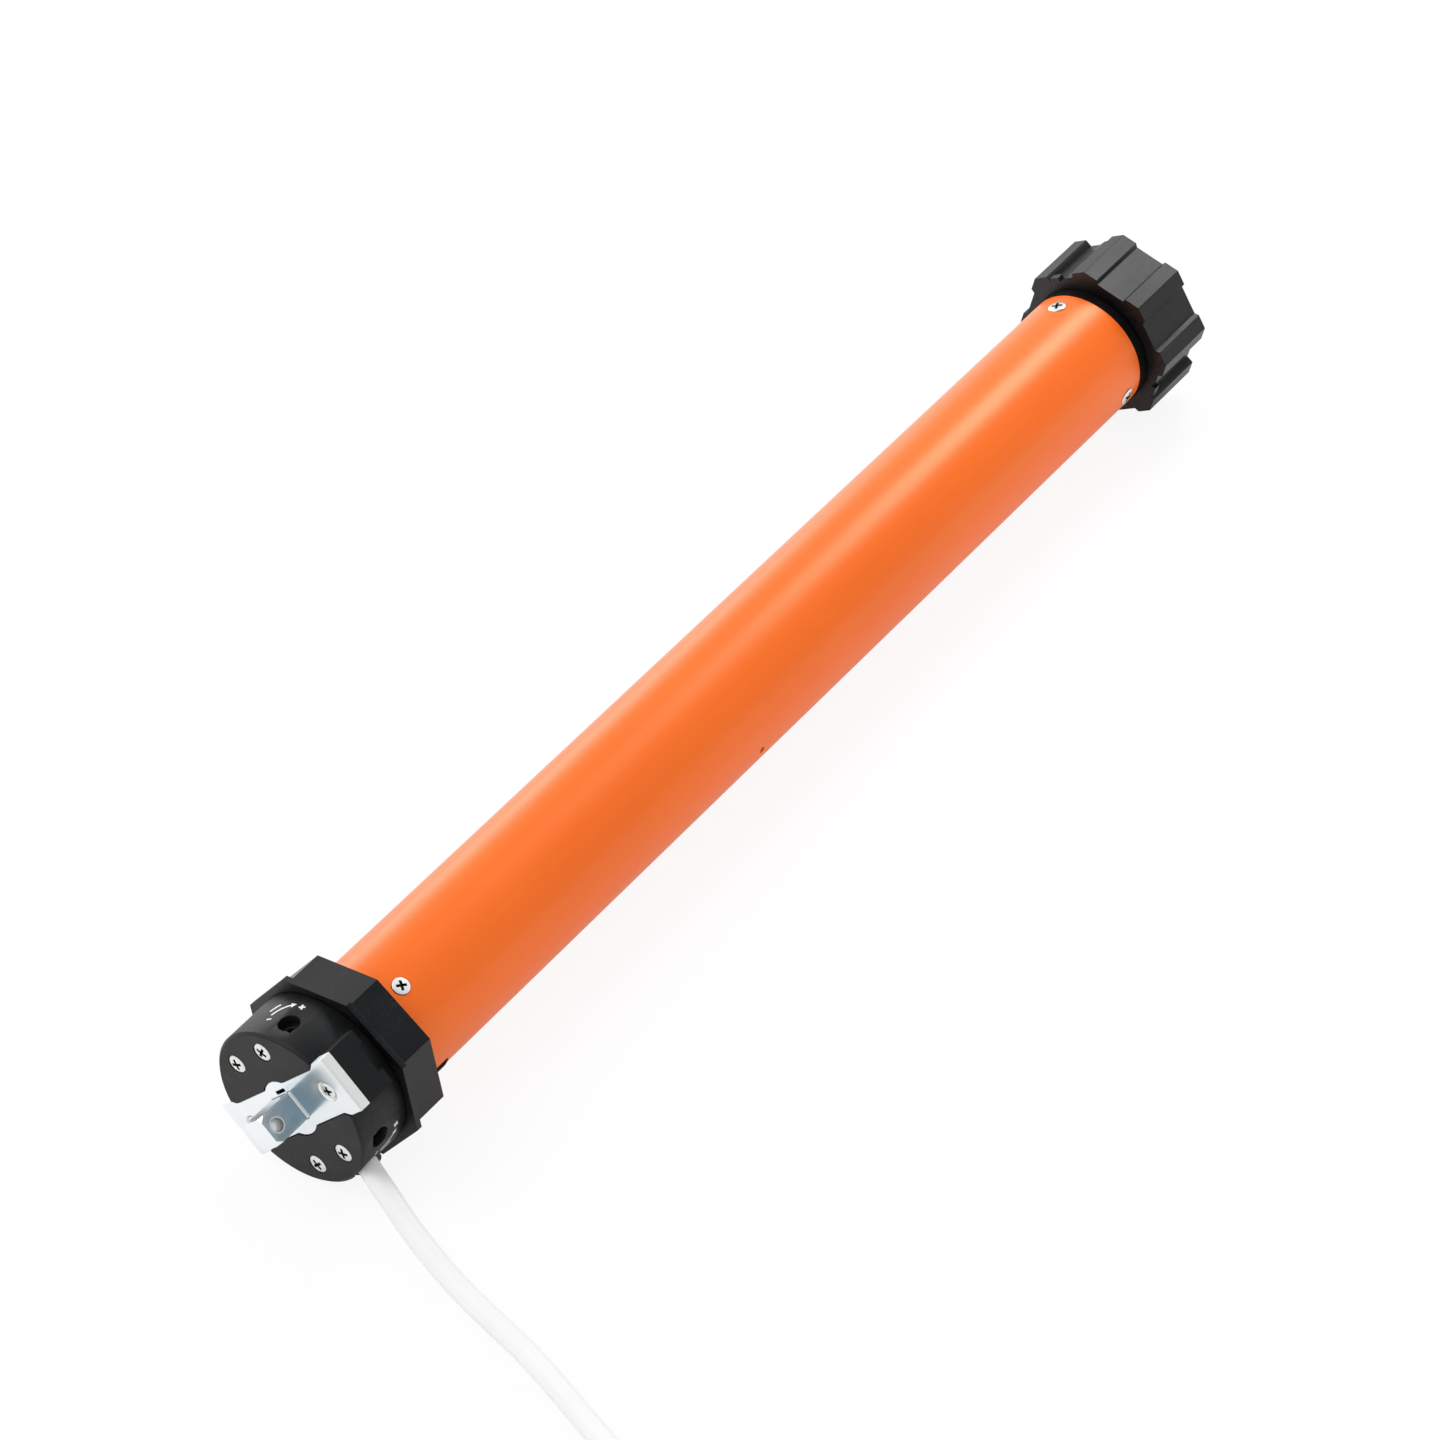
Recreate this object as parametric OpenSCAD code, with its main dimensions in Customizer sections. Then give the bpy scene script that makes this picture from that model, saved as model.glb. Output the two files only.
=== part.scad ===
// Tubular motor for roller blinds: a round tube with a head at one end and a drive wheel at the other.
// The axis of the tube is X. The outer face of the mounting plate is at X = 0 and the drive wheel is at +X.
// Angles round the axis count from straight up (+Z) towards the side where the cord lies (-Y).

/* [Tube] */
// Outer diameter of the motor tube
tube_od = 45; // [44:0.5:48]
// Wall of the motor tube
tube_wall = 1; // [0.8:0.1:1.2]
// Length of the motor tube
tube_len = 396; // [390:1:450]
// Distance of the head's screws from the end of the tube
head_screw_inset = 8; // [6:0.5:12]
// Distance of the gearbox's screws from the end of the tube
drive_screw_inset = 10.5; // [7:0.5:16]
// Diameter of the small locating hole in the tube
locating_hole_d = 2.4; // [2:0.1:3]
// Distance of the locating hole from the head end of the tube
locating_hole_x = 172.8; // [150:1:190]

/* [Head] */
// Diameter of the head
head_d = 56; // [56:0.5:60]
// Length of the head, front face to back
head_len = 20; // [19:0.5:24]
// Chamfer round the front face
head_rim = 0.9; // [0.4:0.1:1.5]
// How far the front face stands proud of the mounting plate
head_proud = 0.4; // [0.2:0.1:0.8]
// Length of the spigot that goes into the tube
spigot_len = 24.6; // [22:0.5:30]
// Wall of the spigot
spigot_wall = 2.4; // [2:0.1:2.6]
// Width of the two keys that sit in slots of the tube's end
head_key_w = 6; // [4:0.5:8]
// Length of those keys along the tube
head_key_len = 4; // [3:0.25:4.5]
// Distance of the cover screws from the axis
cover_screw_r = 21; // [20:0.2:21.6]
// Half the angle between the two cover screws of one side
cover_screw_spread = 22.7; // [20:0.5:25]
// Length of the side pads along the axis
pad_len = 10.5; // [9:0.5:11]
// Width of the notch in the back edge of a side pad
pad_notch_w = 9.5; // [6:0.5:12]
// Depth of that notch along the axis
pad_notch_len = 1.7; // [1:0.1:3]

/* [Mounting plate] */
// Angle of the plate's long direction round the axis
plate_angle = 51; // [45:3:57]
// Length of the plate
plate_len = 64; // [62:0.5:70]
// Thickness of the plate
plate_t = 4; // [3:0.25:4.5]
// Width of the plate at its ends
plate_end_w = 19.5; // [18:0.5:21]
// Width of the plate at its waist
plate_waist_w = 16.4; // [15:0.2:17]
// Length of the waist, from end to end
plate_waist_len = 46.4; // [44:0.2:48]
// Length of the slant from waist to end
plate_slant = 2.6; // [1:0.2:4]
// Diameter of the round boss in the middle of the plate
plate_boss_d = 20; // [18:0.2:21]
// Distance between the two plate screws
plate_screw_gap = 47; // [45:0.5:50]
// Width across the square pin
pin_w = 10; // [8:0.5:12]
// Length of the square pin in front of the plate
pin_len = 13.5; // [12:0.5:18]
// Diameter of the cotter hole in the pin
cotter_d = 4.2; // [3:0.1:5]
// Distance of the cotter hole from the plate
cotter_x = 9.8; // [8:0.2:10.5]

/* [Crown] */
// Width across the flats of the crown
crown_af = 56.7; // [56:0.1:60]
// Width across the flats of the crown's front flange
crown_flange_af = 60.4; // [60.2:0.1:64]
// Length of the crown along the axis
crown_len = 15; // [14:0.5:18]
// Thickness of the crown's front flange
crown_flange_t = 2; // [1.5:0.1:3]

/* [Limit unit] */
// Teeth of the gear on a limit spindle
spindle_teeth = 20; // [18:1:20]
// Diameter of a limit spindle
spindle_d = 4; // [3.5:0.1:4.4]
// Travel of a limit nut to each side of the middle
nut_travel = 15; // [15:0.5:20]
// Length of a limit nut
nut_len = 8; // [6:0.5:10]
// Length of a limit switch
switch_len = 12.8; // [10:0.2:14]
// Thickness of the disc at the end of the limit frame
limit_disc_t = 4; // [3:0.5:6]
// Diameter of the access holes for the limit screws
access_d = 7; // [6.4:0.1:7.4]
// Diameter of the limit screws
adjuster_d = 5.8; // [5:0.1:6]
// Distance of the limit screws from the mounting plate's face
adjuster_x = 7.6; // [7.4:0.1:8.4]

/* [Motor] */
// Length of the stator
stator_len = 62; // [54:1:70]
// Length of the end turns of the winding
end_turn_len = 12; // [9:0.5:14]
// Diameter of the rotor
rotor_d = 22; // [20:0.5:24]
// Diameter of the rotor shaft
shaft_d = 8; // [7:0.5:8]
// Number of stator slots
stator_slots = 12; // [8:4:16]
// Air gap between rotor and stator
air_gap = 0.3; // [0.25:0.05:0.5]
// Thickness of the two end bells
bell_t = 8; // [7:0.5:10]
// Travel of the brake plate when the brake lets go
brake_travel = 0.6; // [0.4:0.1:0.8]
// Diameter of the motor capacitor
capacitor_d = 30; // [24:0.5:34]
// Length of the motor capacitor
capacitor_len = 46; // [36:1:50]

/* [Gearbox] */
// Teeth of each sun gear
sun_teeth = 15; // [12:3:15]
// Teeth of each planet gear
planet_teeth = 15; // [15:3:18]
// Widths of the planets in the three stages
planet_w = [10, 10, 13];
// Thickness of the planet carriers
carrier_t = 3.5; // [3:0.25:5]
// Wall of the ring gear outside its teeth
ring_wall = 3; // [2:0.25:3.5]
// Diameter of a planet's pin
planet_pin_d = 4; // [3:0.25:4.5]
// Diameter of the output shaft
output_d = 16; // [14:0.5:18]
// Width across the flats of the output shaft's hexagon
hex_af = 13; // [11:0.25:13]
// Length of the gearbox's end flange
flange_len = 29; // [24:0.2:40]
// Wall of the output bush
bush_wall = 2.8; // [2:0.2:3.4]

/* [Drive wheel] */
// Width across the flats of the drive wheel
wheel_af = 55.8; // [55:0.1:58]
// Length of the drive wheel
wheel_len = 24.8; // [20:0.2:30]
// Width of the shallow groove along a flat, at its floor
groove_w = 10.6; // [9:0.2:11]
// Depth of the shallow groove
groove_d = 1.45; // [0.8:0.05:1.8]
// Width of the two deep seam channels, at the top
seam_w = 12; // [10:0.2:13]
// Width of the floor of a seam channel
seam_floor_w = 4.1; // [3:0.1:5]
// Depth of the two deep seam channels
seam_d = 2.5; // [2:0.1:3.6]
// Wall of the wheel's rim under the channels
rim_wall = 3; // [2:0.2:4]
// Thickness of the wheel's web
web_t = 4; // [3:0.5:6]
// Diameter of the wheel's hub
hub_d = 26; // [24:0.5:30]
// Thickness of the ribs between hub and rim
rib_t = 2.4; // [1.6:0.2:3]

/* [Screws] */
// Head diameter of the cross-recess screws
screw_head_d = 6.3; // [5.6:0.1:6.8]
// Shank diameter of those screws
screw_d = 3.2; // [2.8:0.1:3.4]

/* [Cord] */
// Diameter of the cord
cord_d = 7.2; // [6.6:0.1:7.4]
// Turns of the coil in each full layer
coil_turns = 2; // [2:1:2]
// Turns of the coil's last layer
coil_last = 1.1; // [1:0.1:1.2]
// Thickness of the ties that hold the coil
tie_t = 1.2; // [0.8:0.1:1.5]
// Width of the ties
tie_w = 5; // [3:0.5:8]
// Length of the bare wire ends
core_len = 24; // [15:1:24]

/* [Hidden] */
$fn = 64;

// Small relief slot in the plate beside the pin
relief_len = 5;
relief_w = 1.5;

// Clearances
run_gap = 0.08;
slip_gap = 0.1;
side_gap = 0.4;
seat_gap = 0.15;
nut_gap = 0.6;
tooth_thin = 0.2;
past = 1;

// Places along the axis, from the head to the tube
head_front = -head_proud;
head_back = head_front + head_len;
crown_x0 = head_back + side_gap;
crown_x1 = crown_x0 + crown_len;
tube_x0 = crown_x1 + side_gap;
tube_x1 = tube_x0 + tube_len;
spigot_x1 = tube_x0 + spigot_len;
body_x0 = head_back - 5.8;
body_wall_x1 = body_x0 + 4.7;

// Radii from the tube inwards
tube_r = tube_od / 2;
tube_bore = tube_r - tube_wall;
inner_r = tube_bore - slip_gap;
spigot_bore = inner_r - spigot_wall;
body_flange_r = head_d / 2 - 2.2;
journal_r = tube_r + 0.4;
neck_r = journal_r - 0.7;
lip_r = journal_r - 0.9;
lip_t = 1.6;
journal_x0 = crown_x0 + lip_t + 0.2;
journal_x1 = crown_x1 - 5;

// Gears: all have a pressure angle of 20 degrees, short teeth and room between the flanks
pressure_angle = 20;
tooth_add = 0.9;
tooth_ded = 1.15;
crown_teeth = 60;
limit_m = (journal_r + 0.35) / (crown_teeth / 2 - tooth_add);
spindle_r = limit_m * (crown_teeth - spindle_teeth) / 2;
spindle_angles = [0, 2 * plate_angle];
ring_teeth = sun_teeth + 2 * planet_teeth;
gear_m = (inner_r - ring_wall) / (ring_teeth / 2 + tooth_ded);
planet_centre_r = gear_m * (sun_teeth + planet_teeth) / 2;
sun_phase = planet_teeth % 2 == 1 ? 0 : 180 / sun_teeth;
planet_count = 3;

// Limit screws and the hollow behind the head's front, by their depth under the head's round face
adjuster_seat_depth = 3.2;
adjuster_top_depth = 3.6;
adjuster_foot_depth = 17;
adjuster_bore_depth = 17.5;
adjuster_socket_af = 3.2;
adjuster_socket_depth = 4;
head_hollow_depth = 15;
head_front_wall = 4;

// Limit unit, from the spigot inwards
switch_down_x0 = spigot_x1 + side_gap;
nut_mid_x = switch_down_x0 + switch_len + nut_gap + nut_travel + nut_len / 2;
switch_up_x0 = nut_mid_x + nut_len / 2 + nut_travel + nut_gap;
limit_disc_x0 = switch_up_x0 + switch_len + side_gap;
limit_disc_x1 = limit_disc_x0 + limit_disc_t;
spindle_x0 = body_x0 + 0.4;
spindle_x1 = limit_disc_x1 - 1;
spindle_gear_x0 = journal_x1 + 0.5;
spindle_gear_w = 3.4;
nut_inner = spindle_r - spindle_d / 2 - 1.4;
nut_outer = spindle_r + 3;
nut_half_w = 4.5;
nut_arm_w = 8.2;
beam_bore = 8;
frame_disc_t = 4;
terminal_len = 11;
capacitor_x0 = limit_disc_x1 + terminal_len + 4;
cradle_inset = 8;
cradle_slot_w = 10;

// Gearbox and motor, from the drive end of the tube backwards
flange_x0 = tube_x1 - flange_len;
out_plate_t = carrier_t + 1.5;
play = 0.6;
out_plate_x0 = flange_x0 - play - out_plate_t;
planet_3_x0 = out_plate_x0 - play - planet_w[2];
carrier_2_x0 = planet_3_x0 - play - carrier_t;
planet_2_x0 = carrier_2_x0 - play - planet_w[1];
carrier_1_x0 = planet_2_x0 - play - carrier_t;
planet_1_x0 = carrier_1_x0 - play - planet_w[0];
gearbox_plate_t = 5;
ring_x0 = planet_1_x0 - play;
gearbox_plate_x0 = ring_x0 - gearbox_plate_t;
carrier_r = planet_centre_r + planet_pin_d / 2 + 1.6;
brake_disc_t = 3;
brake_plate_t = 2.5;
brake_disc_x1 = gearbox_plate_x0 - 3;
brake_disc_x0 = brake_disc_x1 - brake_disc_t;
brake_gap = 0.1;
brake_plate_x1 = brake_disc_x0 - brake_gap;
brake_plate_x0 = brake_plate_x1 - brake_plate_t;
bell_gap = 3;
front_bell_x1 = brake_plate_x0 - bell_gap;
front_bell_x0 = front_bell_x1 - bell_t;
stator_x1 = front_bell_x0 - end_turn_len;
stator_x0 = stator_x1 - stator_len;
rear_bell_x1 = stator_x0 - end_turn_len;
rear_bell_x0 = rear_bell_x1 - bell_t;
shaft_r = shaft_d / 2;
rotor_r = rotor_d / 2;
stator_bore = rotor_r + air_gap;
motor_bush_wall = 3;
slot_r0 = stator_bore + 1.6;
slot_r1 = inner_r - 2.4;
slot_w = 0.5 * 2 * PI * slot_r0 / stator_slots;
brake_disc_r = 13;
brake_pin_r = 1.5;
brake_pin_at = brake_disc_r + brake_pin_r + 1.4;
spring_wire = 1.2;
spring_turns = 3;
spring_steps = 8;
spring_depth = 3.4;
spring_room = 0.5;
spring_r = (shaft_r + motor_bush_wall + spring_room + spring_wire / 2) / cos(180 / spring_steps);

// Drive end
output_r = output_d / 2;
wheel_x0 = tube_x1 + 1.5;
wheel_x1 = wheel_x0 + wheel_len;
hex_x0 = tube_x1 + 0.3;
clip_t = 1.2;
clip_x0 = wheel_x1 + 0.3;
shaft_end_x = clip_x0 + clip_t + 1.6;
clip_bore_r = hex_af / 2 - 1.4;
wheel_angle = 0;
seam_angles = [-22.5, 112.5];
ramp_w = 0.9;
wheel_corner_r = crown_flange_af / 2 - 0.05;

// Screws: head depth, cross slot and the lengths that each place needs
screw_head_h = 1.9;
slot_len = 3.8;
slot_t = 0.8;
slot_depth = 1.3;
tube_screw_len = 5;
plate_screw_len = 8;
head_screw_len = body_wall_x1 - head_front - 1.4;
head_screw_angles = [0, 120, 240];
head_screw_turn = 32;
drive_screw_angles = [0, 120, 240];
drive_screw_turn = -10;
locating_angle = 110;
head_key_angle = 120;
head_key_rise = 0.3;
cover_screw_angles = [
    for (side = [-90, 90], spread = [-1, 1]) plate_angle + side + spread * cover_screw_spread
];

// Cord: it leaves the head sideways, sinks to the floor and runs to its coil
floor_z = -crown_flange_af / 2;
cord_r = cord_d / 2;
cord_route = [
    [5.5, -21, -18], [1, -32, -22], [-4, -43.5, -25.2], [-9, -55.5, -26.6], [-14, -67.5, -26.6],
    [-18.5, -80, -26.6], [-22.5, -92.5, -26.6], [-26.5, -105, -26.6], [-31, -117, -26.6],
    [-36, -129, -26.6], [-41, -141, -26.6], [-46, -153, -26.6], [-51, -165, -26.6], [-56, -177, -26.4],
    [-61, -189, -25.8], [-66, -201, -25.4], [-71, -213, -25.4]
];
cord_sides = 10;
cord_end = cord_route[len(cord_route) - 1];
coil_dir = [-5, -12] / 13;
coil_layers = 4;
coil_pitch = cord_d + 0.45;
coil_mid_r = 40;
coil_r0 = coil_mid_r + coil_pitch * coil_turns / 2;
coil_start = [cord_end.x, cord_end.y] + cord_d * coil_dir;
coil_centre = coil_start + coil_r0 * [coil_dir.y, -coil_dir.x];
coil_angle = atan2(coil_dir.x, -coil_dir.y);
coil_z = cord_end.z;
loop_rings = 24;
loop_sides = 6;
tie_places = [0.3, 0.6, 0.9];
core_r = 1.25;
strip_len = 8;
strip_r = 0.7;
grommet_r = cord_r + 1.4;
grommet_len = 12;
exit_dir = cord_route[0] - cord_route[1];

// A shape round the X axis, from a profile of radius and place along the axis
module turned() {
    rotate([0, 90, 0]) rotate_extrude() children();
}

// A flat outline in Y and Z, drawn out along X
module bar_x(x0, x1) {
    translate([x0, 0, 0]) rotate([90, 0, 90]) linear_extrude(x1 - x0) children();
}

// A plain round bar along X
module rod_x(x0, x1, r) {
    translate([x0, 0, 0]) rotate([0, 90, 0]) cylinder(h = x1 - x0, r = r);
}

// What is built pointing up is turned to an angle round the axis
module clock(angle) {
    rotate([angle, 0, 0]) children();
}

// What is built along +Z is turned to point along a direction
module facing(place, dir) {
    translate(place) rotate([0, acos(dir.z / norm(dir)), atan2(dir.y, dir.x)]) children();
}

// Eight-sided outline with a flat on top, by its width across the flats
module octagon(af) {
    rotate(22.5) circle(r = af / 2 / cos(22.5), $fn = 8);
}

// Six-sided outline, by its width across the flats
module hexagon(af) {
    circle(r = af / 2 / cos(30), $fn = 6);
}

// Angle between the start of an involute and its point at radius r
function involute(base, r) =
    let (t = sqrt(max(0, r * r / (base * base) - 1))) t * 180 / PI - atan(t);

// Half the angle that a tooth takes up at radius r
function half_tooth(teeth, m, thin, r) =
    let (pitch = m * teeth / 2, base = pitch * cos(pressure_angle))
    (PI * m / 2 - thin) / 2 / pitch * 180 / PI + involute(base, pitch) - involute(base, max(r, base));

// Outline of a gear with one tooth pointing up
module gear(teeth, m, thin, add, ded) {
    steps = 3;
    low = m * (teeth / 2 - ded);
    high = m * (teeth / 2 + add);
    radii = [for (i = [0 : steps]) low + (high - low) * i / steps];
    rotate(90) polygon([
        for (tooth = [0 : teeth - 1], k = [0 : 2 * steps + 1])
            let (up = k <= steps)
            let (r = up ? radii[k] : radii[2 * steps + 1 - k])
            let (a = tooth * 360 / teeth + (up ? -1 : 1) * half_tooth(teeth, m, thin, r))
            r * [cos(a), sin(a)]
    ]);
}

// A round tube swept along points, closed at both ends, as triangles
function unit(v) = v / norm(v);
function heading(path, i) =
    unit(path[min(i + 1, len(path) - 1)] - path[max(i - 1, 0)]);
function ring_points(centre, dir, r, sides) =
    let (flat = unit(cross(abs(dir.z) > 0.9 ? [1, 0, 0] : [0, 0, 1], dir)), top = cross(dir, flat))
    [for (k = [0 : sides - 1]) centre + r * (cos(360 * k / sides) * flat + sin(360 * k / sides) * top)];

module sweep(path, r, sides) {
    n = len(path);
    points = [for (i = [0 : n - 1]) each ring_points(path[i], heading(path, i), r, sides)];
    walls = [
        for (i = [0 : n - 2], k = [0 : sides - 1])
            let (a = i * sides + k, b = i * sides + (k + 1) % sides)
            each [[a, b, b + sides], [a, b + sides, a + sides]]
    ];
    first = [for (k = [1 : sides - 2]) [0, k + 1, k]];
    end = (n - 1) * sides;
    last = [for (k = [1 : sides - 2]) [end, end + k, end + k + 1]];
    polyhedron(points, concat(walls, first, last));
}

// Countersunk screw with a cross recess, its flat top at Z = 0 and its shank below
module screw(length) {
    difference() {
        union() {
            translate([0, 0, -screw_head_h])
                cylinder(h = screw_head_h, r1 = screw_d / 2, r2 = screw_head_d / 2);
            translate([0, 0, -length]) cylinder(h = length - screw_head_h / 2, r = screw_d / 2);
        }
        for (turn = [0, 90]) rotate(turn)
            translate([-slot_len / 2, -slot_t / 2, -slot_depth]) cube([slot_len, slot_t, slot_depth + past]);
    }
}

// The hole that such a screw sits in
module screw_hole(length) {
    mouth_r = screw_head_d / 2 + 2 * slip_gap;
    translate([0, 0, -screw_head_h - slip_gap])
        cylinder(h = screw_head_h + slip_gap, r1 = screw_d / 2 + slip_gap, r2 = mouth_r);
    cylinder(h = past, r = mouth_r);
    translate([0, 0, -length - slip_gap]) cylinder(h = length, r = screw_d / 2 + slip_gap);
}

// Screws and holes in the front, where the head's top faces -X
module on_front(x) {
    translate([x, 0, 0]) rotate([0, -90, 0]) children();
}

module at_cover_screws() {
    for (a = cover_screw_angles)
        clock(a) translate([0, 0, cover_screw_r]) on_front(head_front + 0.3) children();
}

module at_plate_screws() {
    for (side = [0, 180])
        clock(plate_angle + side) translate([0, 0, plate_screw_gap / 2]) on_front(0) children();
}

module at_tube_screws(x, turn, angles) {
    for (a = angles) clock(turn + a) translate([x, 0, tube_r + slip_gap]) children();
}

module at_head_screws() {
    at_tube_screws(tube_x0 + head_screw_inset, head_screw_turn, head_screw_angles) children();
}

module at_drive_screws() {
    at_tube_screws(tube_x1 - drive_screw_inset, drive_screw_turn, drive_screw_angles) children();
}

// The head's keys, which keep the tube from turning on the spigot
module at_head_keys() {
    for (side = [0, 180]) clock(head_key_angle + side) translate([tube_x0, 0, 0]) children();
}

// Outline of the mounting plate, its long direction up, with room to spare all round
module plate_outline(room) {
    half = plate_len / 2 + room;
    end = plate_end_w / 2 + room;
    waist = plate_waist_w / 2 + room;
    neck = plate_waist_len / 2 - room;
    upper = [
        [-waist, neck], [-end, neck + plate_slant], [-end, half],
        [end, half], [end, neck + plate_slant], [waist, neck]
    ];
    boss = plate_boss_d / 2 + room;
    reach = acos(waist / boss);
    bulge = [for (i = [4 : -1 : -4]) boss * [cos(reach * i / 4), sin(reach * i / 4)]];
    polygon(concat(upper, bulge, -upper, -bulge));
}

module motor_tube() {
    color("#f26d25") difference() {
        rod_x(tube_x0, tube_x1, tube_r);
        rod_x(tube_x0 - past, tube_x1 + past, tube_bore);
        at_head_screws() screw_hole(tube_screw_len);
        at_drive_screws() screw_hole(tube_screw_len);
        at_head_keys() translate([-past, -head_key_w / 2 - slip_gap, tube_bore - past])
            cube([past + head_key_len + slip_gap, head_key_w + 2 * slip_gap, tube_wall + 2 * past]);
        clock(locating_angle) translate([tube_x0 + locating_hole_x, 0, tube_bore - past])
            cylinder(h = tube_wall + 2 * past, d = locating_hole_d);
    }
}

// Round hole with one corner in its edge, for the key that turns a limit screw
module access_hole() {
    tip = 1.25 * access_d / 2;
    circle(d = access_d);
    rotate(135) square(tip / sqrt(2));
}

// Moulded head: the round front with the plate's channel, two side pads and the access holes
module head_cap() {
    head_r = head_d / 2;
    color("#2d2d2f") difference() {
        union() {
            turned() polygon([
                [0, head_front], [head_r - head_rim, head_front], [head_r, head_front + head_rim],
                [head_r, head_back], [0, head_back]
            ]);
            for (side = [0, 180]) clock(plate_angle + side) difference() {
                translate([plate_t, -plate_end_w / 2, 0]) cube([pad_len, plate_end_w, plate_len / 2]);
                translate([plate_t + pad_len - pad_notch_len, -pad_notch_w / 2, head_r + 0.6])
                    cube([pad_notch_len + past, pad_notch_w, plate_len]);
            }
        }
        clock(plate_angle) bar_x(head_front - past, plate_t) plate_outline(seat_gap);
        rod_x(body_x0, head_back + past, body_flange_r + slip_gap);
        rod_x(plate_t + head_front_wall, head_back, head_r - head_hollow_depth);
        at_cover_screws() screw_hole(head_screw_len);
        at_plate_screws() screw_hole(plate_screw_len);
        for (i = [0, 1]) clock(spindle_angles[i]) translate([adjuster_x, 0, 0]) {
            translate([0, 0, head_r - adjuster_seat_depth])
                linear_extrude(head_r) rotate(45 - 90 * i) access_hole();
            translate([0, 0, head_r - adjuster_bore_depth])
                cylinder(h = head_r, r = adjuster_d / 2 + run_gap);
        }
        facing(cord_route[0], exit_dir) translate([0, 0, -grommet_len])
            cylinder(h = 2 * grommet_len, r = grommet_r + run_gap);
    }
}

// Bearing body behind the head: its journal carries the crown and its spigot goes into the tube
module head_body() {
    color("#38383a") difference() {
        union() {
            turned() polygon([
                [0, body_x0], [body_flange_r, body_x0],
                [body_flange_r, head_back - 0.2], [lip_r, head_back - 0.2],
                [lip_r, journal_x0], [journal_r, journal_x0],
                [journal_r, journal_x1], [neck_r, journal_x1],
                [neck_r, tube_x0 - 0.1], [inner_r, tube_x0 - 0.1],
                [inner_r, spigot_x1], [spigot_bore, spigot_x1],
                [spigot_bore, body_wall_x1], [0, body_wall_x1]
            ]);
            at_head_keys() intersection() {
                translate([0, -head_key_w / 2, inner_r - past]) cube([head_key_len, head_key_w, tube_r]);
                rod_x(0, head_key_len, tube_r + head_key_rise);
            }
        }
        rod_x(body_x0 - past, body_wall_x1 + past, beam_bore);
        for (a = spindle_angles) clock(a) translate([0, 0, spindle_r]) {
            rod_x(body_x0 - past, body_wall_x1 + past, spindle_d / 2 + run_gap);
            rod_x(journal_x1, tube_x0 - 0.3, limit_m * (spindle_teeth / 2 + tooth_add) + side_gap);
        }
        at_cover_screws() screw_hole(head_screw_len);
        at_head_screws() screw_hole(tube_screw_len);
    }
}

module mounting_plate() {
    color("#c9ced2") difference() {
        clock(plate_angle) bar_x(0, plate_t) plate_outline(0);
        clock(plate_angle) translate([-past, -pin_w / 2, -pin_w / 2]) cube([plate_t + 2 * past, pin_w, pin_w]);
        clock(plate_angle) translate([-past, pin_w / 2, -relief_len / 5])
            cube([plate_t + 2 * past, relief_w, relief_len]);
        at_plate_screws() screw_hole(plate_screw_len);
    }
}

// Square pin, riveted through the plate, with a hole for the cotter
module square_pin() {
    chamfer = 1;
    color("#8f9ba3") clock(plate_angle) difference() {
        intersection() {
            translate([-pin_len, -pin_w / 2, -pin_w / 2]) cube([pin_len + plate_t, pin_w, pin_w]);
            turned() polygon([
                [0, -pin_len], [pin_w / sqrt(2) - chamfer, -pin_len], [pin_w / sqrt(2), 2 * chamfer - pin_len],
                [pin_w / sqrt(2), plate_t], [0, plate_t]
            ]);
        }
        translate([-cotter_x, 0, -pin_w]) cylinder(h = 2 * pin_w, d = cotter_d);
    }
}

module plate_screws() {
    color("#d8d8d6") at_plate_screws() screw(plate_screw_len);
}

module head_screws() {
    color("#d8d8d6") at_cover_screws() screw(head_screw_len);
}

module tube_screws_head() {
    color("#d8d8d6") at_head_screws() screw(tube_screw_len);
}

module tube_screws_drive() {
    color("#d8d8d6") at_drive_screws() screw(tube_screw_len);
}

// Eight-sided ring that turns freely with the blind's tube; its inner teeth drive the limit unit
module crown_ring() {
    color("#333335") difference() {
        union() {
            bar_x(crown_x0, crown_x0 + crown_flange_t) octagon(crown_flange_af);
            bar_x(crown_x0, crown_x1) octagon(crown_af);
        }
        rod_x(crown_x0 - past, crown_x0 + lip_t + past, lip_r + run_gap);
        rod_x(crown_x0 + lip_t, journal_x1 + 0.2, journal_r + run_gap);
        bar_x(journal_x1 + 0.2, crown_x1 + past) gear(crown_teeth, limit_m, -tooth_thin, tooth_ded, tooth_add);
    }
}

// Long limit spindle with its gear near the head
module limit_spindle(angle) {
    color("#d9d4c4") clock(angle) translate([0, 0, spindle_r]) {
        rod_x(spindle_x0, spindle_x1, spindle_d / 2);
        bar_x(spindle_gear_x0, spindle_gear_x0 + spindle_gear_w)
            gear(spindle_teeth, limit_m, tooth_thin, tooth_add, tooth_ded);
    }
}

module limit_spindle_up() {
    limit_spindle(spindle_angles[0]);
}

module limit_spindle_down() {
    limit_spindle(spindle_angles[1]);
}

// Nut that travels along a spindle; its arm reaches past the spindle to a limit switch
module limit_nut(angle, side) {
    color("#f1efe6") clock(angle) difference() {
        bar_x(nut_mid_x - nut_len / 2, nut_mid_x + nut_len / 2)
            translate([side > 0 ? -nut_half_w : -nut_arm_w, nut_inner])
                square([nut_half_w + nut_arm_w, nut_outer - nut_inner]);
        translate([0, 0, spindle_r])
            rod_x(nut_mid_x - nut_len, nut_mid_x + nut_len, spindle_d / 2 + run_gap);
    }
}

module limit_nut_up() {
    limit_nut(spindle_angles[0], -1);
}

module limit_nut_down() {
    limit_nut(spindle_angles[1], 1);
}

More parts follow.
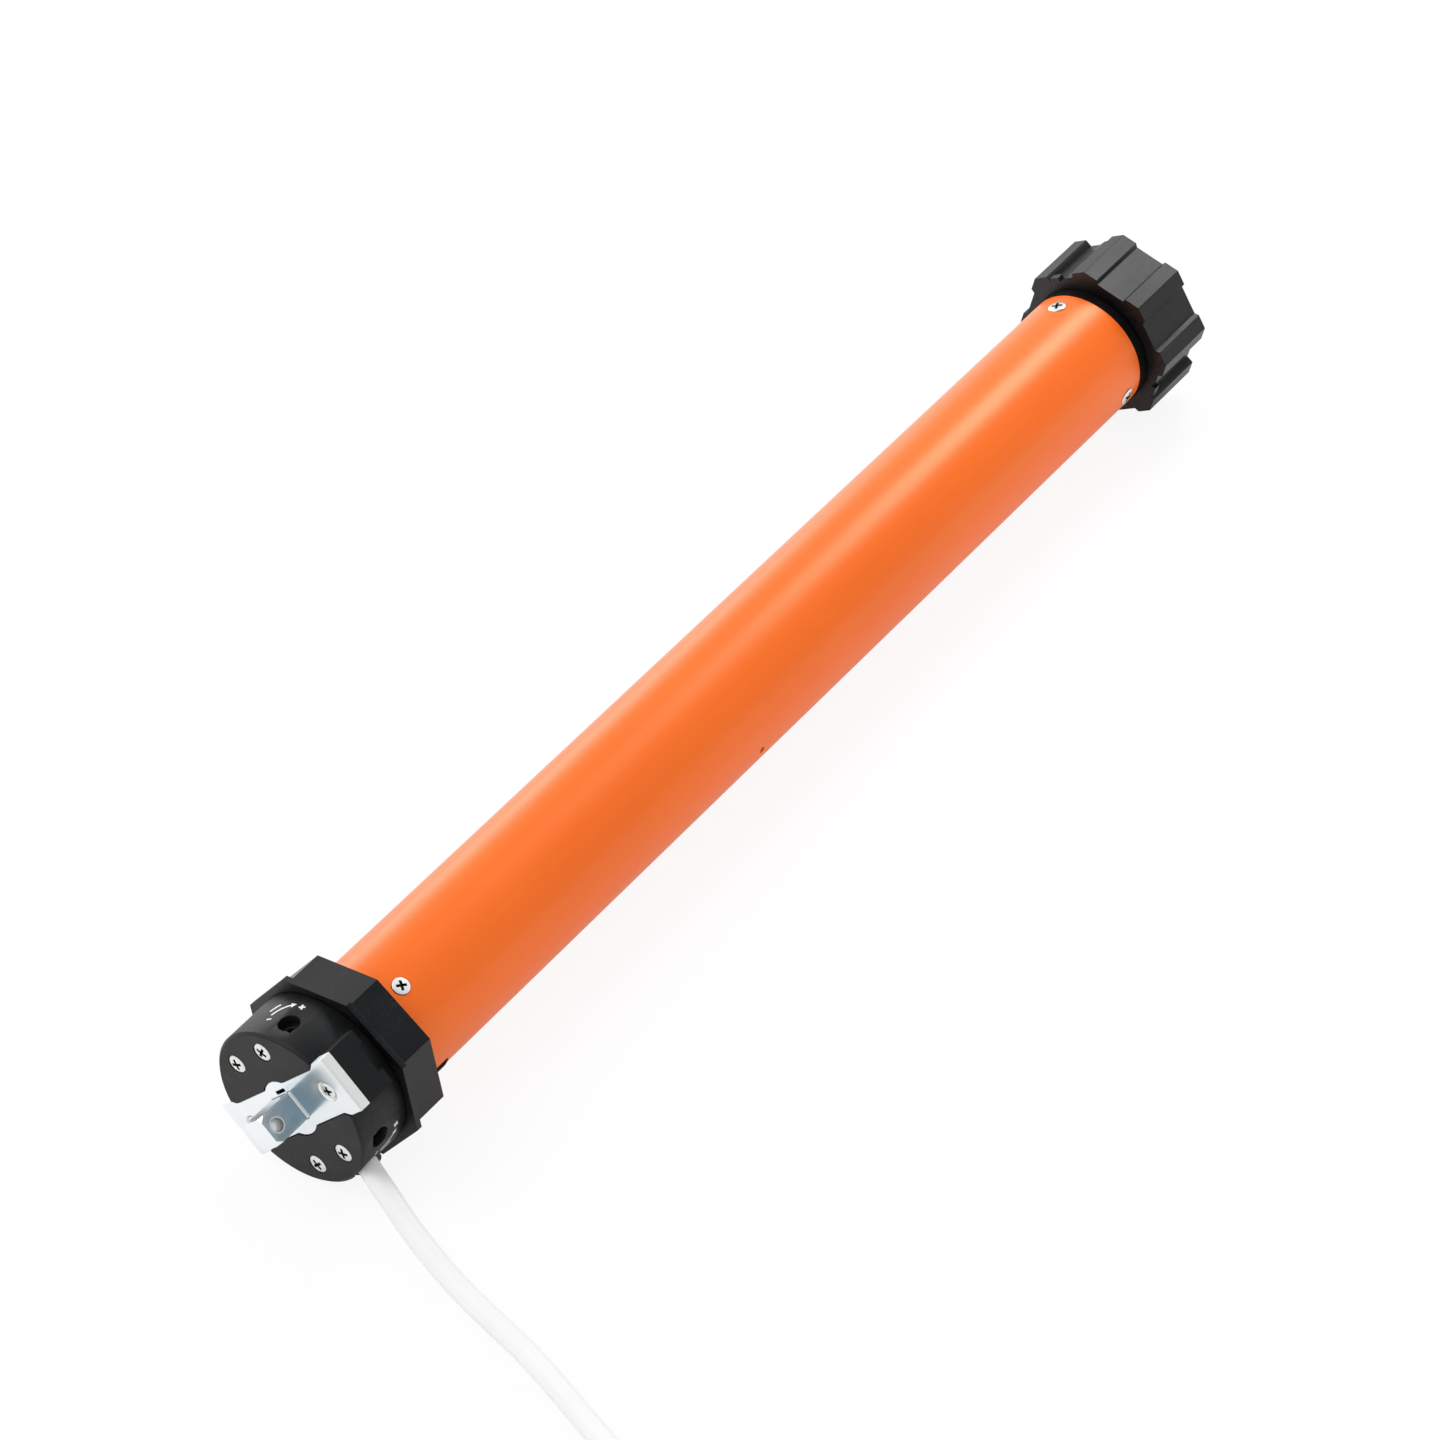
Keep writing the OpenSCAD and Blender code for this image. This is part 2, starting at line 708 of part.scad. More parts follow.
// Limit screw with a hexagon socket, turned from outside through the access hole
module limit_screw(angle) {
    top = head_d / 2 - adjuster_top_depth;
    foot = head_d / 2 - adjuster_foot_depth;
    color("#4a4a4c") clock(angle) translate([adjuster_x, 0, 0]) difference() {
        translate([0, 0, foot]) cylinder(h = top - foot, d = adjuster_d);
        translate([0, 0, top - adjuster_socket_depth])
            linear_extrude(adjuster_socket_depth + past) hexagon(adjuster_socket_af);
    }
}

module limit_screw_up() {
    limit_screw(spindle_angles[0]);
}

module limit_screw_down() {
    limit_screw(spindle_angles[1]);
}

// Small snap switch beside a spindle, its button towards the nut's arm
module limit_switch(angle, side, x0, button) {
    width = 5.2;
    height = nut_outer - nut_inner;
    near = spindle_d / 2 + 0.9;
    button_r = 1;
    button_rise = 0.3;
    color("#202022") clock(angle) translate([0, side > 0 ? near : -near - width, nut_inner - slip_gap]) {
        translate([x0, 0, 0]) cube([switch_len, width, height]);
        button_x = button > 0 ? x0 + switch_len - past : x0 - button_rise;
        translate([0, width / 2, height / 2]) rod_x(button_x, button_x + past + button_rise, button_r);
    }
}

module limit_switch_up() {
    limit_switch(spindle_angles[0], -1, switch_up_x0, -1);
}

module limit_switch_down() {
    limit_switch(spindle_angles[1], 1, switch_down_x0, 1);
}

// Frame of the limit unit: a beam that the nuts slide along and a disc that holds the spindles' ends
module limit_frame() {
    color("#e4e1d6") difference() {
        union() {
            rod_x(spigot_x1, limit_disc_x0 + past, nut_inner + 1);
            rod_x(limit_disc_x0, limit_disc_x1, inner_r);
            rod_x(spigot_x1 - frame_disc_t, spigot_x1 + side_gap + past, spigot_bore - slip_gap);
        }
        rod_x(spigot_x1 - frame_disc_t - past, limit_disc_x1 + past, beam_bore);
        for (a = spindle_angles) clock(a) translate([0, 0, spindle_r])
            rod_x(spigot_x1 - frame_disc_t - past, limit_disc_x1 + past, spindle_d / 2 + run_gap);
        for (a = spindle_angles) clock(a) translate([switch_down_x0, -nut_outer, nut_inner - slip_gap])
            cube([limit_disc_x0 - switch_down_x0, 2 * nut_outer, nut_outer]);
    }
}

// Terminal block on the back of the limit frame, where the cord's wires end
module terminal_block() {
    width = 18;
    height = 8;
    poles = 3;
    low = -beam_bore - height - 1;
    color("#f4f2ea") difference() {
        translate([limit_disc_x1, -width / 2, low]) cube([terminal_len, width, height]);
        for (i = [0 : poles - 1])
            translate([limit_disc_x1 + terminal_len / 2, (i - (poles - 1) / 2) * width / poles, low + 2])
                cylinder(h = height, r = 1.8);
    }
}

// Motor capacitor: a can with a crimped rim and two blade terminals
module capacitor() {
    r = capacitor_d / 2;
    x1 = capacitor_x0 + capacitor_len;
    rim = 1.2;
    blade = [3, 0.8, 4.8];
    color("#c4c9cc") {
        turned() polygon([
            [0, capacitor_x0], [r - rim, capacitor_x0], [r, capacitor_x0 + rim],
            [r, x1 - rim], [r - rim, x1 - rim], [r - rim, x1], [0, x1]
        ]);
        for (side = [-1, 1])
            translate([capacitor_x0 - blade.x, side * r / 2 - blade.y / 2, -blade.z / 2])
                cube([blade.x + past, blade.y, blade.z]);
    }
}

// Open ring that clamps the capacitor in the tube and leaves a way for the wires
module capacitor_cradle() {
    x0 = capacitor_x0 + cradle_inset;
    x1 = capacitor_x0 + capacitor_len - cradle_inset;
    color("#3c3c3e") bar_x(x0, x1) difference() {
        circle(r = inner_r);
        circle(r = capacitor_d / 2 + slip_gap);
        translate([-cradle_slot_w / 2, 0]) square([cradle_slot_w, 2 * inner_r]);
    }
}

// End bell of the motor with a seat for its bush and a rim that holds the stator
module end_bell(x0, bush_r) {
    difference() {
        rod_x(x0, x0 + bell_t, inner_r);
        rod_x(x0 - past, x0 + bell_t + past, bush_r);
        for (i = [0 : 3]) clock(45 + 90 * i) translate([0, 0, inner_r - 4.4])
            rod_x(x0 - past, x0 + bell_t + past, 2.2);
    }
}

module motor_bush(x0) {
    color("#b0803c") difference() {
        rod_x(x0, x0 + bell_t, shaft_r + motor_bush_wall);
        rod_x(x0 - past, x0 + bell_t + past, shaft_r + run_gap);
    }
}

module rear_end_bell() {
    color("#a9adb0") {
        end_bell(rear_bell_x0, shaft_r + motor_bush_wall);
        bell_rim(rear_bell_x1 - past, stator_x0);
    }
}

module rear_bush() {
    motor_bush(rear_bell_x0);
}

// Thin rim between an end bell and the stator, outside the end turns
module bell_rim(x0, x1) {
    difference() {
        rod_x(x0, x1, inner_r);
        rod_x(x0 - past, x1 + past, inner_r - 1.2);
    }
}

// Front bell: it also guides the brake plate on three pins and holds the brake spring in a pocket
module front_end_bell() {
    color("#a9adb0") {
        difference() {
            union() {
                end_bell(front_bell_x0, shaft_r + motor_bush_wall);
                bell_rim(stator_x1, front_bell_x0 + past);
            }
            rod_x(front_bell_x1 - spring_depth, front_bell_x1 + past, spring_r + spring_wire / 2 + spring_room);
        }
        for (a = [0, 120, 240]) clock(a) translate([0, 0, brake_pin_at])
            rod_x(front_bell_x1 - past, brake_disc_x1, brake_pin_r);
    }
}

module front_bush() {
    motor_bush(front_bell_x0);
}

// Stack of stator sheets, seen here as one slotted ring
module stator_core() {
    color("#6d7276") bar_x(stator_x0, stator_x1) difference() {
        circle(r = inner_r);
        circle(r = stator_bore);
        for (i = [0 : stator_slots - 1]) rotate(360 * i / stator_slots)
            translate([-slot_w / 2, slot_r0]) square([slot_w, slot_r1 - slot_r0]);
    }
}

// Copper winding: bars through the slots, joined by the end turns
module stator_windings() {
    room = 0.5;
    color("#b8672c") {
        for (x = [rear_bell_x1 + room, stator_x1]) difference() {
            rod_x(x, x + end_turn_len - room, slot_r1 - seat_gap);
            rod_x(x - past, x + end_turn_len + past, slot_r0 + seat_gap);
        }
        bar_x(stator_x0 - past, stator_x1 + past)
            for (i = [0 : stator_slots - 1]) rotate(360 * i / stator_slots)
                translate([-slot_w / 2 + seat_gap, slot_r0 + seat_gap])
                    square([slot_w - 2 * seat_gap, slot_r1 - slot_r0 - 2 * seat_gap]);
    }
}

// Cage rotor with grooves along its bars
module rotor_core() {
    bars = 18;
    groove = 0.8;
    color("#888d91") bar_x(stator_x0, stator_x1) difference() {
        circle(r = rotor_r);
        circle(r = shaft_r);
        for (i = [0 : bars - 1]) rotate(360 * i / bars) translate([0, rotor_r]) circle(r = groove);
    }
}

module rotor_shaft() {
    color("#9aa0a4") rod_x(rear_bell_x0 - 2, planet_1_x0 + planet_w[0], shaft_r / 2);
    color("#9aa0a4") rod_x(rear_bell_x0 - 2, gearbox_plate_x0 - 0.5, shaft_r);
}

module sun_gear_1() {
    color("#8c9196") difference() {
        bar_x(planet_1_x0, planet_1_x0 + planet_w[0]) rotate(sun_phase)
            gear(sun_teeth, gear_m, tooth_thin, tooth_add, tooth_ded);
        rod_x(planet_1_x0 - past, planet_1_x0 + planet_w[0] + past, shaft_r / 2);
    }
}

// Brake disc on the rotor shaft
module brake_disc() {
    color("#5b5f62") difference() {
        rod_x(brake_disc_x0, brake_disc_x1, brake_disc_r);
        rod_x(brake_disc_x0 - past, brake_disc_x1 + past, shaft_r);
    }
}

// Brake plate: it slides on three pins and presses on the disc until the motor draws it back
module brake_plate() {
    color("#7c8286") difference() {
        rod_x(brake_plate_x0, brake_plate_x1, inner_r - 0.6);
        rod_x(brake_plate_x0 - past, brake_plate_x1 + past, shaft_r + 1);
        for (a = [0, 120, 240]) clock(a) translate([0, 0, brake_pin_at])
            rod_x(brake_plate_x0 - past, brake_plate_x1 + past, brake_pin_r + run_gap);
    }
}

// Coil spring that presses the brake plate on to the disc
module brake_spring() {
    wire_r = spring_wire / 2;
    x0 = front_bell_x1 - spring_depth + brake_travel + 0.2 + wire_r;
    x1 = brake_plate_x0 - slip_gap - wire_r;
    steps = spring_steps * spring_turns;
    color("#70757a") sweep([
        for (i = [0 : steps])
            let (a = 360 * spring_turns * i / steps)
            [x0 + (x1 - x0) * i / steps, spring_r * sin(a), spring_r * cos(a)]
    ], wire_r, 6);
}

// Plate between the brake and the gears, with a hole for the shaft
module gearbox_plate() {
    color("#3f4143") difference() {
        rod_x(gearbox_plate_x0, ring_x0, inner_r);
        rod_x(gearbox_plate_x0 - past, ring_x0 + past, shaft_r / 2 + run_gap);
        rod_x(gearbox_plate_x0 - past, gearbox_plate_x0 + 1, shaft_r + 2);
    }
}

// Long ring gear shared by the three stages
module ring_gear() {
    color("#55585b") difference() {
        rod_x(ring_x0, flange_x0, inner_r);
        bar_x(ring_x0 - past, flange_x0 + past) gear(ring_teeth, gear_m, -tooth_thin, tooth_ded, tooth_add);
    }
}

// Carrier: a plate with three pins for its planets on one side
module carrier(x0, thickness, planet_x0) {
    bar_x(x0, x0 + thickness) circle(r = carrier_r);
    for (i = [0 : planet_count - 1]) clock(360 * i / planet_count) translate([0, 0, planet_centre_r])
        rod_x(planet_x0, x0 + past, planet_pin_d / 2);
}

// Carrier of an inner stage, with the next stage's sun gear on its other side
module inner_carrier(x0, planet_x0, next_x0, next_w) {
    color("#777c80") {
        carrier(x0, carrier_t, planet_x0);
        bar_x(x0 + carrier_t - past, next_x0 + next_w) rotate(sun_phase)
            gear(sun_teeth, gear_m, tooth_thin, tooth_add, tooth_ded);
    }
}

module carrier_1() {
    inner_carrier(carrier_1_x0, planet_1_x0, planet_2_x0, planet_w[1]);
}

module carrier_2() {
    inner_carrier(carrier_2_x0, planet_2_x0, planet_3_x0, planet_w[2]);
}

// Output carrier: a round shaft that runs in the bush and ends in a hexagon for the wheel
module output_carrier() {
    color("#7f8488") difference() {
        union() {
            carrier(out_plate_x0, out_plate_t, planet_3_x0);
            rod_x(out_plate_x0 + past, hex_x0, output_r);
            bar_x(hex_x0 - past, shaft_end_x) hexagon(hex_af);
        }
        difference() {
            rod_x(clip_x0 - 0.05, clip_x0 + clip_t + 0.05, output_r);
            rod_x(clip_x0 - past, clip_x0 + clip_t + past, clip_bore_r - 0.05);
        }
    }
}

// One planet gear on its pin
module planet(x0, width, i) {
    color("#c9c3b0") clock(360 * i / planet_count) translate([0, 0, planet_centre_r]) difference() {
        bar_x(x0, x0 + width) gear(planet_teeth, gear_m, tooth_thin, tooth_add, tooth_ded);
        rod_x(x0 - past, x0 + width + past, planet_pin_d / 2 + run_gap);
    }
}

module planet_1(i) {
    planet(planet_1_x0, planet_w[0], i);
}

module planet_2(i) {
    planet(planet_2_x0, planet_w[1], i);
}

module planet_3(i) {
    planet(planet_3_x0, planet_w[2], i);
}

// End flange of the gearbox, screwed into the tube; the bush sits in it
module gearbox_flange() {
    color("#2f2f31") difference() {
        rod_x(flange_x0, tube_x1, inner_r);
        rod_x(flange_x0 - past, tube_x1 + past, output_r + bush_wall);
        at_drive_screws() screw_hole(tube_screw_len);
    }
}

module output_bush() {
    color("#b0803c") difference() {
        rod_x(flange_x0, tube_x1, output_r + bush_wall);
        rod_x(flange_x0 - past, tube_x1 + past, output_r + run_gap);
    }
}

// Outline of the drive wheel: raised pads at the corners, shallow grooves and two deep seam channels
module wheel_outline() {
    apothem = wheel_af / 2;
    half = groove_w / 2;
    low = apothem - seam_d;
    wall = seam_w / 2;
    intersection() {
        circle(r = wheel_corner_r);
        difference() {
            rotate(22.5) octagon(wheel_af);
            for (i = [0 : 7]) rotate(22.5 + 45 * i)
                polygon([
                    [-half - ramp_w, apothem + past], [-half - ramp_w, apothem], [-half, apothem - groove_d],
                    [half, apothem - groove_d], [half + ramp_w, apothem], [half + ramp_w, apothem + past]
                ]);
            for (i = [0, 1]) rotate(seam_angles[i]) mirror([i, 0])
                polygon([
                    [-wall, apothem + past], [-wall, apothem], [wall - ramp_w - seam_floor_w, low],
                    [wall - ramp_w, low], [wall, apothem], [wall, apothem + past]
                ]);
        }
    }
}

// Driven wheel: an eight-sided rim on a ribbed hub that fits the shaft's hexagon
module drive_wheel() {
    inner_af = wheel_af - 2 * (seam_d + rim_wall);
    low = wheel_af / 2 - seam_d;
    stop_t = 2.5;
    stop_h = 1.65;
    color("#3a3a3c") clock(wheel_angle) difference() {
        union() {
            bar_x(wheel_x0, wheel_x1) difference() {
                wheel_outline();
                rotate(22.5) octagon(inner_af);
            }
            bar_x(wheel_x0, wheel_x0 + web_t) rotate(22.5) octagon(inner_af + 1);
            rod_x(wheel_x0, wheel_x1, hub_d / 2);
            for (i = [0 : 7]) clock(45 * i) translate([wheel_x0, -rib_t / 2, hub_d / 2 - 1])
                cube([wheel_len - 2, rib_t, inner_af / 2 - hub_d / 2 + 2]);
            for (i = [0, 1]) clock(seam_angles[i]) mirror([0, i, 0])
                translate([wheel_x0, seam_w / 2 - ramp_w - seam_floor_w, low - 0.5])
                    cube([stop_t, seam_floor_w, stop_h + 0.5]);
        }
        bar_x(wheel_x0 - past, wheel_x1 + past) hexagon(hex_af + 0.1);
    }
}

// Clip in the shaft's groove that keeps the wheel on
module wheel_clip() {
    color("#9a9fa2") bar_x(clip_x0, clip_x0 + clip_t) difference() {
        circle(r = clip_bore_r + 4.4);
        circle(r = clip_bore_r);
        translate([-clip_bore_r * 0.8, 0]) square([clip_bore_r * 1.6, 3 * clip_bore_r]);
    }
}

// Rubber sleeve in the side of the head where the cord comes out
module cable_grommet() {
    color("#1d1d1e") intersection() {
        facing(cord_route[0], exit_dir) cylinder(h = grommet_len, r = grommet_r);
        rod_x(head_front, body_x0, head_d / 2 + grommet_len);
    }
}

// The free part of the cord, from the head to the coil
module cord_run() {
    color("#f2f2f0") sweep(cord_route, cord_r, cord_sides);
}

// Angle, radius and height of the coil's path after some turns: in and out again, one layer up at each end
function coil_layer(turns) = min(floor(turns / coil_turns), coil_layers - 1);
function coil_radius(turns) =
    let (layer = coil_layer(turns), part = turns - layer * coil_turns)
    coil_r0 - coil_pitch * (layer % 2 == 0 ? part : coil_turns - part);
function coil_height(turns) =
    coil_z + coil_pitch * (
        min(max(turns - coil_turns + 0.25, 0) * 2, 1) +
        min(max(turns - 2 * coil_turns + 0.25, 0) * 2, 1) +
        min(max(turns - 3 * coil_turns + 0.25, 0) * 2, 1)
    );
function coil_point(turns) =
    let (a = coil_angle - 360 * turns, r = coil_radius(turns))
    [coil_centre.x + r * cos(a), coil_centre.y + r * sin(a), coil_height(turns)];

coil_total = (coil_layers - 1) * coil_turns + coil_last;
coil_path = concat(
    [cord_end],
    [for (i = [0 : round(coil_total * loop_rings)]) coil_point(i / loop_rings)]
);
coil_tail = coil_path[len(coil_path) - 1];
coil_tail_dir = unit(coil_tail - coil_path[len(coil_path) - 2]);
coil_end = coil_tail + cord_d * coil_tail_dir;
coil_full = concat(coil_path, [coil_end]);

// Least gap between turns, taken between points that lie half a turn or more apart along the cord
function least_gap(path, apart) = min([
    for (i = [0 : len(path) - 1 - apart]) min([for (j = [i + apart : len(path) - 1]) norm(path[i] - path[j])])
]) - cord_d;
function path_length(path) = len(path) < 2 ? 0 : [
    for (i = 1, sum = norm(path[1] - path[0]); i < len(path); i = i + 1,
         sum = sum + (i < len(path) ? norm(path[i] - path[i - 1]) : 0)) sum
][len(path) - 2];
echo(least_gap_between_turns_mm = least_gap(coil_full, loop_rings / 2));
echo(cord_length_mm = path_length(cord_route) + path_length(coil_full) + core_len);

module cord_coil() {
    color("#f2f2f0") sweep(coil_full, cord_r, loop_sides);
}

// Ties round the coil, each at a part of a turn; the coil rests on them
module cord_ties() {
    room = 0.5;
    under = coil_z - cord_r - 0.05;
    color("#efefec") for (place = tie_places) {
        passes = [for (k = [0 : floor(coil_total - place)]) k + place];
        low = min([for (k = passes) coil_radius(k)]) - cord_r - room;
        high = max([for (k = passes) coil_radius(k)]) + cord_r + room;
        top = max([for (k = passes) coil_height(k)]) + cord_r + room;
        translate([coil_centre.x, coil_centre.y, 0]) rotate(coil_angle - 360 * place) difference() {
            translate([low - tie_t, -tie_w / 2, floor_z])
                cube([high - low + 2 * tie_t, tie_w, top + tie_t - floor_z]);
            translate([low, -tie_w, under]) cube([high - low, 2 * tie_w, top - under]);
        }
    }
}

// Four stripped wires at the end of the cord
module cord_cores() {
    spread = 1.5;
    colours = ["#2f5fb0", "#6b4326", "#222222", "#c7c938"];
    for (i = [0 : 3]) facing(coil_end, coil_tail_dir) rotate(45 + 90 * i) translate([spread, 0, 0]) {
        color(colours[i]) cylinder(h = core_len - strip_len, r = core_r - 0.2);
        color("#c98b5a") cylinder(h = core_len, r = strip_r);
    }
}

motor_tube();
head_cap();
head_body();
mounting_plate();
square_pin();
plate_screws();
head_screws();
tube_screws_head();
tube_screws_drive();
crown_ring();
limit_spindle_up();
limit_spindle_down();
limit_nut_up();
limit_nut_down();
limit_screw_up();
limit_screw_down();
limit_switch_up();
limit_switch_down();
limit_frame();
terminal_block();
capacitor();
capacitor_cradle();
rear_end_bell();
rear_bush();
stator_core();
stator_windings();
front_end_bell();
front_bush();
rotor_core();
rotor_shaft();
sun_gear_1();
brake_disc();
brake_plate();
brake_spring();
gearbox_plate();
ring_gear();
carrier_1();
carrier_2();
output_carrier();
planet_1(0);  // planet_1a
planet_1(1);  // planet_1b
planet_1(2);  // planet_1c
planet_2(0);  // planet_2a
planet_2(1);  // planet_2b
planet_2(2);  // planet_2c
planet_3(0);  // planet_3a
planet_3(1);  // planet_3b
planet_3(2);  // planet_3c
gearbox_flange();
output_bush();
drive_wheel();
wheel_clip();
cable_grommet();
cord_run();
cord_coil();
cord_ties();
cord_cores();
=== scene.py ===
import math

import bmesh
import bpy
from mathutils import Matrix, Vector


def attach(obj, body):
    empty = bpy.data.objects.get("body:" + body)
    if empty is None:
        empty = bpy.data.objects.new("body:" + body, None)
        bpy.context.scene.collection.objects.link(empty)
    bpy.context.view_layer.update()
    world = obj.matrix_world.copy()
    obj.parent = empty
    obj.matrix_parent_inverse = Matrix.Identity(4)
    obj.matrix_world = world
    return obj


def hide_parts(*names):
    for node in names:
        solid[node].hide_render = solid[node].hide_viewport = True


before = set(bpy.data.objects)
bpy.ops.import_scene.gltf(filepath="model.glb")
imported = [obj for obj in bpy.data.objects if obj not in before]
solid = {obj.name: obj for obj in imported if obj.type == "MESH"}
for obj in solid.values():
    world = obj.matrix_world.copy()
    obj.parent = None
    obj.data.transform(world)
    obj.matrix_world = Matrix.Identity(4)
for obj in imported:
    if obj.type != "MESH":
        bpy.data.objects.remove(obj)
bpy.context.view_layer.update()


# Motor tube
# A drawn steel tube, powder coated orange, that holds the whole motor.
# The head and the gearbox go into its ends and countersunk screws hold them.

class Field:
    """A value that changes over a surface. Sums and products of fields add Math nodes."""

    def __init__(self, finish, socket):
        self.finish = finish
        self.socket = socket

    def math(self, operation, other=0.0, swapped=False):
        """One Math node on this field and another value."""
        pair = (other, self) if swapped else (self, other)
        return self.finish.node("ShaderNodeMath", {"operation": operation}, {0: pair[0], 1: pair[1]})

    def __add__(self, other):
        return self.math("ADD", other)

    def __sub__(self, other):
        return self.math("SUBTRACT", other)

    def __rsub__(self, other):
        return self.math("SUBTRACT", other, swapped=True)

    def __mul__(self, other):
        return self.math("MULTIPLY", other)

    def __abs__(self):
        return self.math("ABSOLUTE")

    __radd__ = __add__
    __rmul__ = __mul__


class Finish:
    """A material: one Principled shader and the nodes that vary it over the surface."""

    def __init__(self, name, **plain):
        self.material = bpy.data.materials.new(name)
        self.material.use_nodes = True
        self.tree = self.material.node_tree
        self.shader = self.tree.nodes["Principled BSDF"]
        for socket, value in plain.items():
            self.feed(socket.replace("_", " ").title(), value)

    def feed(self, socket, value):
        """Sets a socket of the shader to a constant or links it to a field."""
        slot = self.shader.inputs[socket.replace("Ior", "IOR")]
        if isinstance(value, Field):
            self.tree.links.new(value.socket, slot)
        else:
            slot.default_value = value

    def node(self, kind, settings=None, sockets=None, output=0):
        """Any node, from its type, its settings and the values or links of its sockets."""
        made = self.tree.nodes.new(kind)
        for name, value in (settings or {}).items():
            setattr(made, name, value)
        for name, value in (sockets or {}).items():
            if isinstance(value, Field):
                self.tree.links.new(value.socket, made.inputs[name])
            else:
                made.inputs[name].default_value = value
        return Field(self, made.outputs[output])

    def spot(self, stretch=(1, 1, 1), turn=(0, 0, 0)):
        """The place on the piece in metres, turned and then stretched."""
        here = self.node("ShaderNodeTexCoord", output="Object")
        return self.node("ShaderNodeMapping", None, {"Vector": here, "Rotation": turn, "Scale": stretch})

    def along(self, axis, turn=(0, 0, 0)):
        """One coordinate of that place: 0 for X, 1 for Y, 2 for Z."""
        return self.node("ShaderNodeSeparateXYZ", None, {"Vector": self.spot((1, 1, 1), turn)}, output=axis)

    def grain(self, size, detail=3.0, stretch=(1, 1, 1)):
        """Soft noise from 0 to 1 whose lumps are about size metres across."""
        return self.node("ShaderNodeTexNoise", None,
                         {"Vector": self.spot(stretch), "Scale": 1 / size, "Detail": detail})

    def between(self, field, low, high):
        """0 below low, 1 above high and a smooth rise between them."""
        return self.node("ShaderNodeMapRange", {"interpolation_type": "SMOOTHSTEP"},
                         {"Value": field, "From Min": low, "From Max": high})

    def mixed(self, share, first, second):
        """A colour between two others."""
        return self.node("ShaderNodeMix", {"data_type": "RGBA"}, {0: share, 6: first, 7: second}, output=2)

    def bump(self, height, depth, strength):
        """Lets a field raise the surface by about depth metres."""
        self.feed("Normal", self.node("ShaderNodeBump", None,
                                      {"Height": height, "Distance": depth, "Strength": strength}))


def shade(finish, *names):
    """Gives solids of the frame a finish."""
    for name in names:
        solid[name].data.materials.clear()
        solid[name].data.materials.append(finish.material)


orange_coat = Finish("orange powder coat", specular_ior_level=0.62, specular_tint=(1, 0.88, 0.55, 1))
peel = orange_coat.grain(0.0014, 2)
fleck = orange_coat.grain(0.00035, 1)
cloud = orange_coat.grain(0.06, 2)
drawn = orange_coat.grain(0.004, 3, (0.06, 1, 1))
rich = orange_coat.mixed(cloud, (0.86, 0.122, 0.0035, 1), (0.93, 0.143, 0.005, 1))
orange_coat.feed("Base Color", orange_coat.mixed(0.25 * fleck, rich, (0.97, 0.19, 0.02, 1)))
orange_coat.feed("Roughness", 0.31 + 0.05 * drawn + 0.04 * fleck)
orange_coat.bump(peel + 0.4 * fleck, 0.00002, 0.35)
shade(orange_coat, "motor_tube")


# Head
# The round black end that stays still, moulded in glass-filled plastic with a fine spark
# texture. Four countersunk screws hold it to the bearing body behind it.

same_place = 1e-6
flat_angle = math.radians(0.5)
sharp_angle = math.radians(35)


def round_edges(name, width, segments=2):
    """Rounds the sharp edges of a solid of the frame by a small width in metres."""
    weld = solid[name].modifiers.new("weld", "WELD")
    weld.merge_threshold = same_place
    flat = solid[name].modifiers.new("whole faces", "DECIMATE")
    flat.decimate_type = "DISSOLVE"
    flat.angle_limit = flat_angle
    edge = solid[name].modifiers.new("round edges", "BEVEL")
    edge.width = width
    edge.segments = segments
    edge.limit_method = "ANGLE"
    edge.angle_limit = sharp_angle
    edge.harden_normals = True


satin_black = Finish("satin black plastic", specular_ior_level=0.34)
spark = satin_black.grain(0.00042, 2)
sheen = satin_black.grain(0.014, 3)
handled = satin_black.between(satin_black.grain(0.005, 4), 0.52, 0.75)
satin = satin_black.mixed(sheen, (0.0025, 0.0025, 0.0026, 1), (0.004, 0.004, 0.004, 1))
satin_black.feed("Base Color", satin_black.mixed(0.4 * handled, satin, (0.01, 0.0097, 0.0094, 1)))
satin_black.feed("Roughness", 0.46 + 0.1 * sheen - 0.05 * handled)
satin_black.bump(spark, 0.00003, 0.55)
shade(satin_black, "head_cap", "head_body")
round_edges("head_cap", 0.00022)


# Mounting plate and square pin
# A punched steel plate and a square bar riveted through it, both bright zinc plated. The
# plate's sheared edges are coarser, and the walls of its hole by the pin are painted near
# black as shade. The pin's corners and end are painted bright as highlights, as is a lip
# round its cross hole, whose bore is painted darker as shade. A thin shoulder, painted
# bright as a highlight at its rim, runs round the pin's foot.

plate_turn = 51
plate_angle = math.radians(plate_turn)
painted_shade_r = 0.009
painted_shade_blend = 0.0005
zinc = Finish("bright zinc plating")
bloom = zinc.grain(0.007, 3)
brushed = zinc.grain(0.0005, 3, (1, 1, 0.2))
sheared = zinc.between(zinc.along(0), 0.00003, 0.00018)
torn = zinc.between(zinc.along(0), 0.0003, 0.0006) * (1 - zinc.between(zinc.along(0), 0.0007, 0.0011))
tear = zinc.between(zinc.grain(0.0003, 5, (0.6, 1, 1)), 0.4, 0.65) * torn
from_axis = zinc.node("ShaderNodeVectorMath", {"operation": "LENGTH"}, {0: zinc.spot((0, 1, 1))},
                      output="Value")
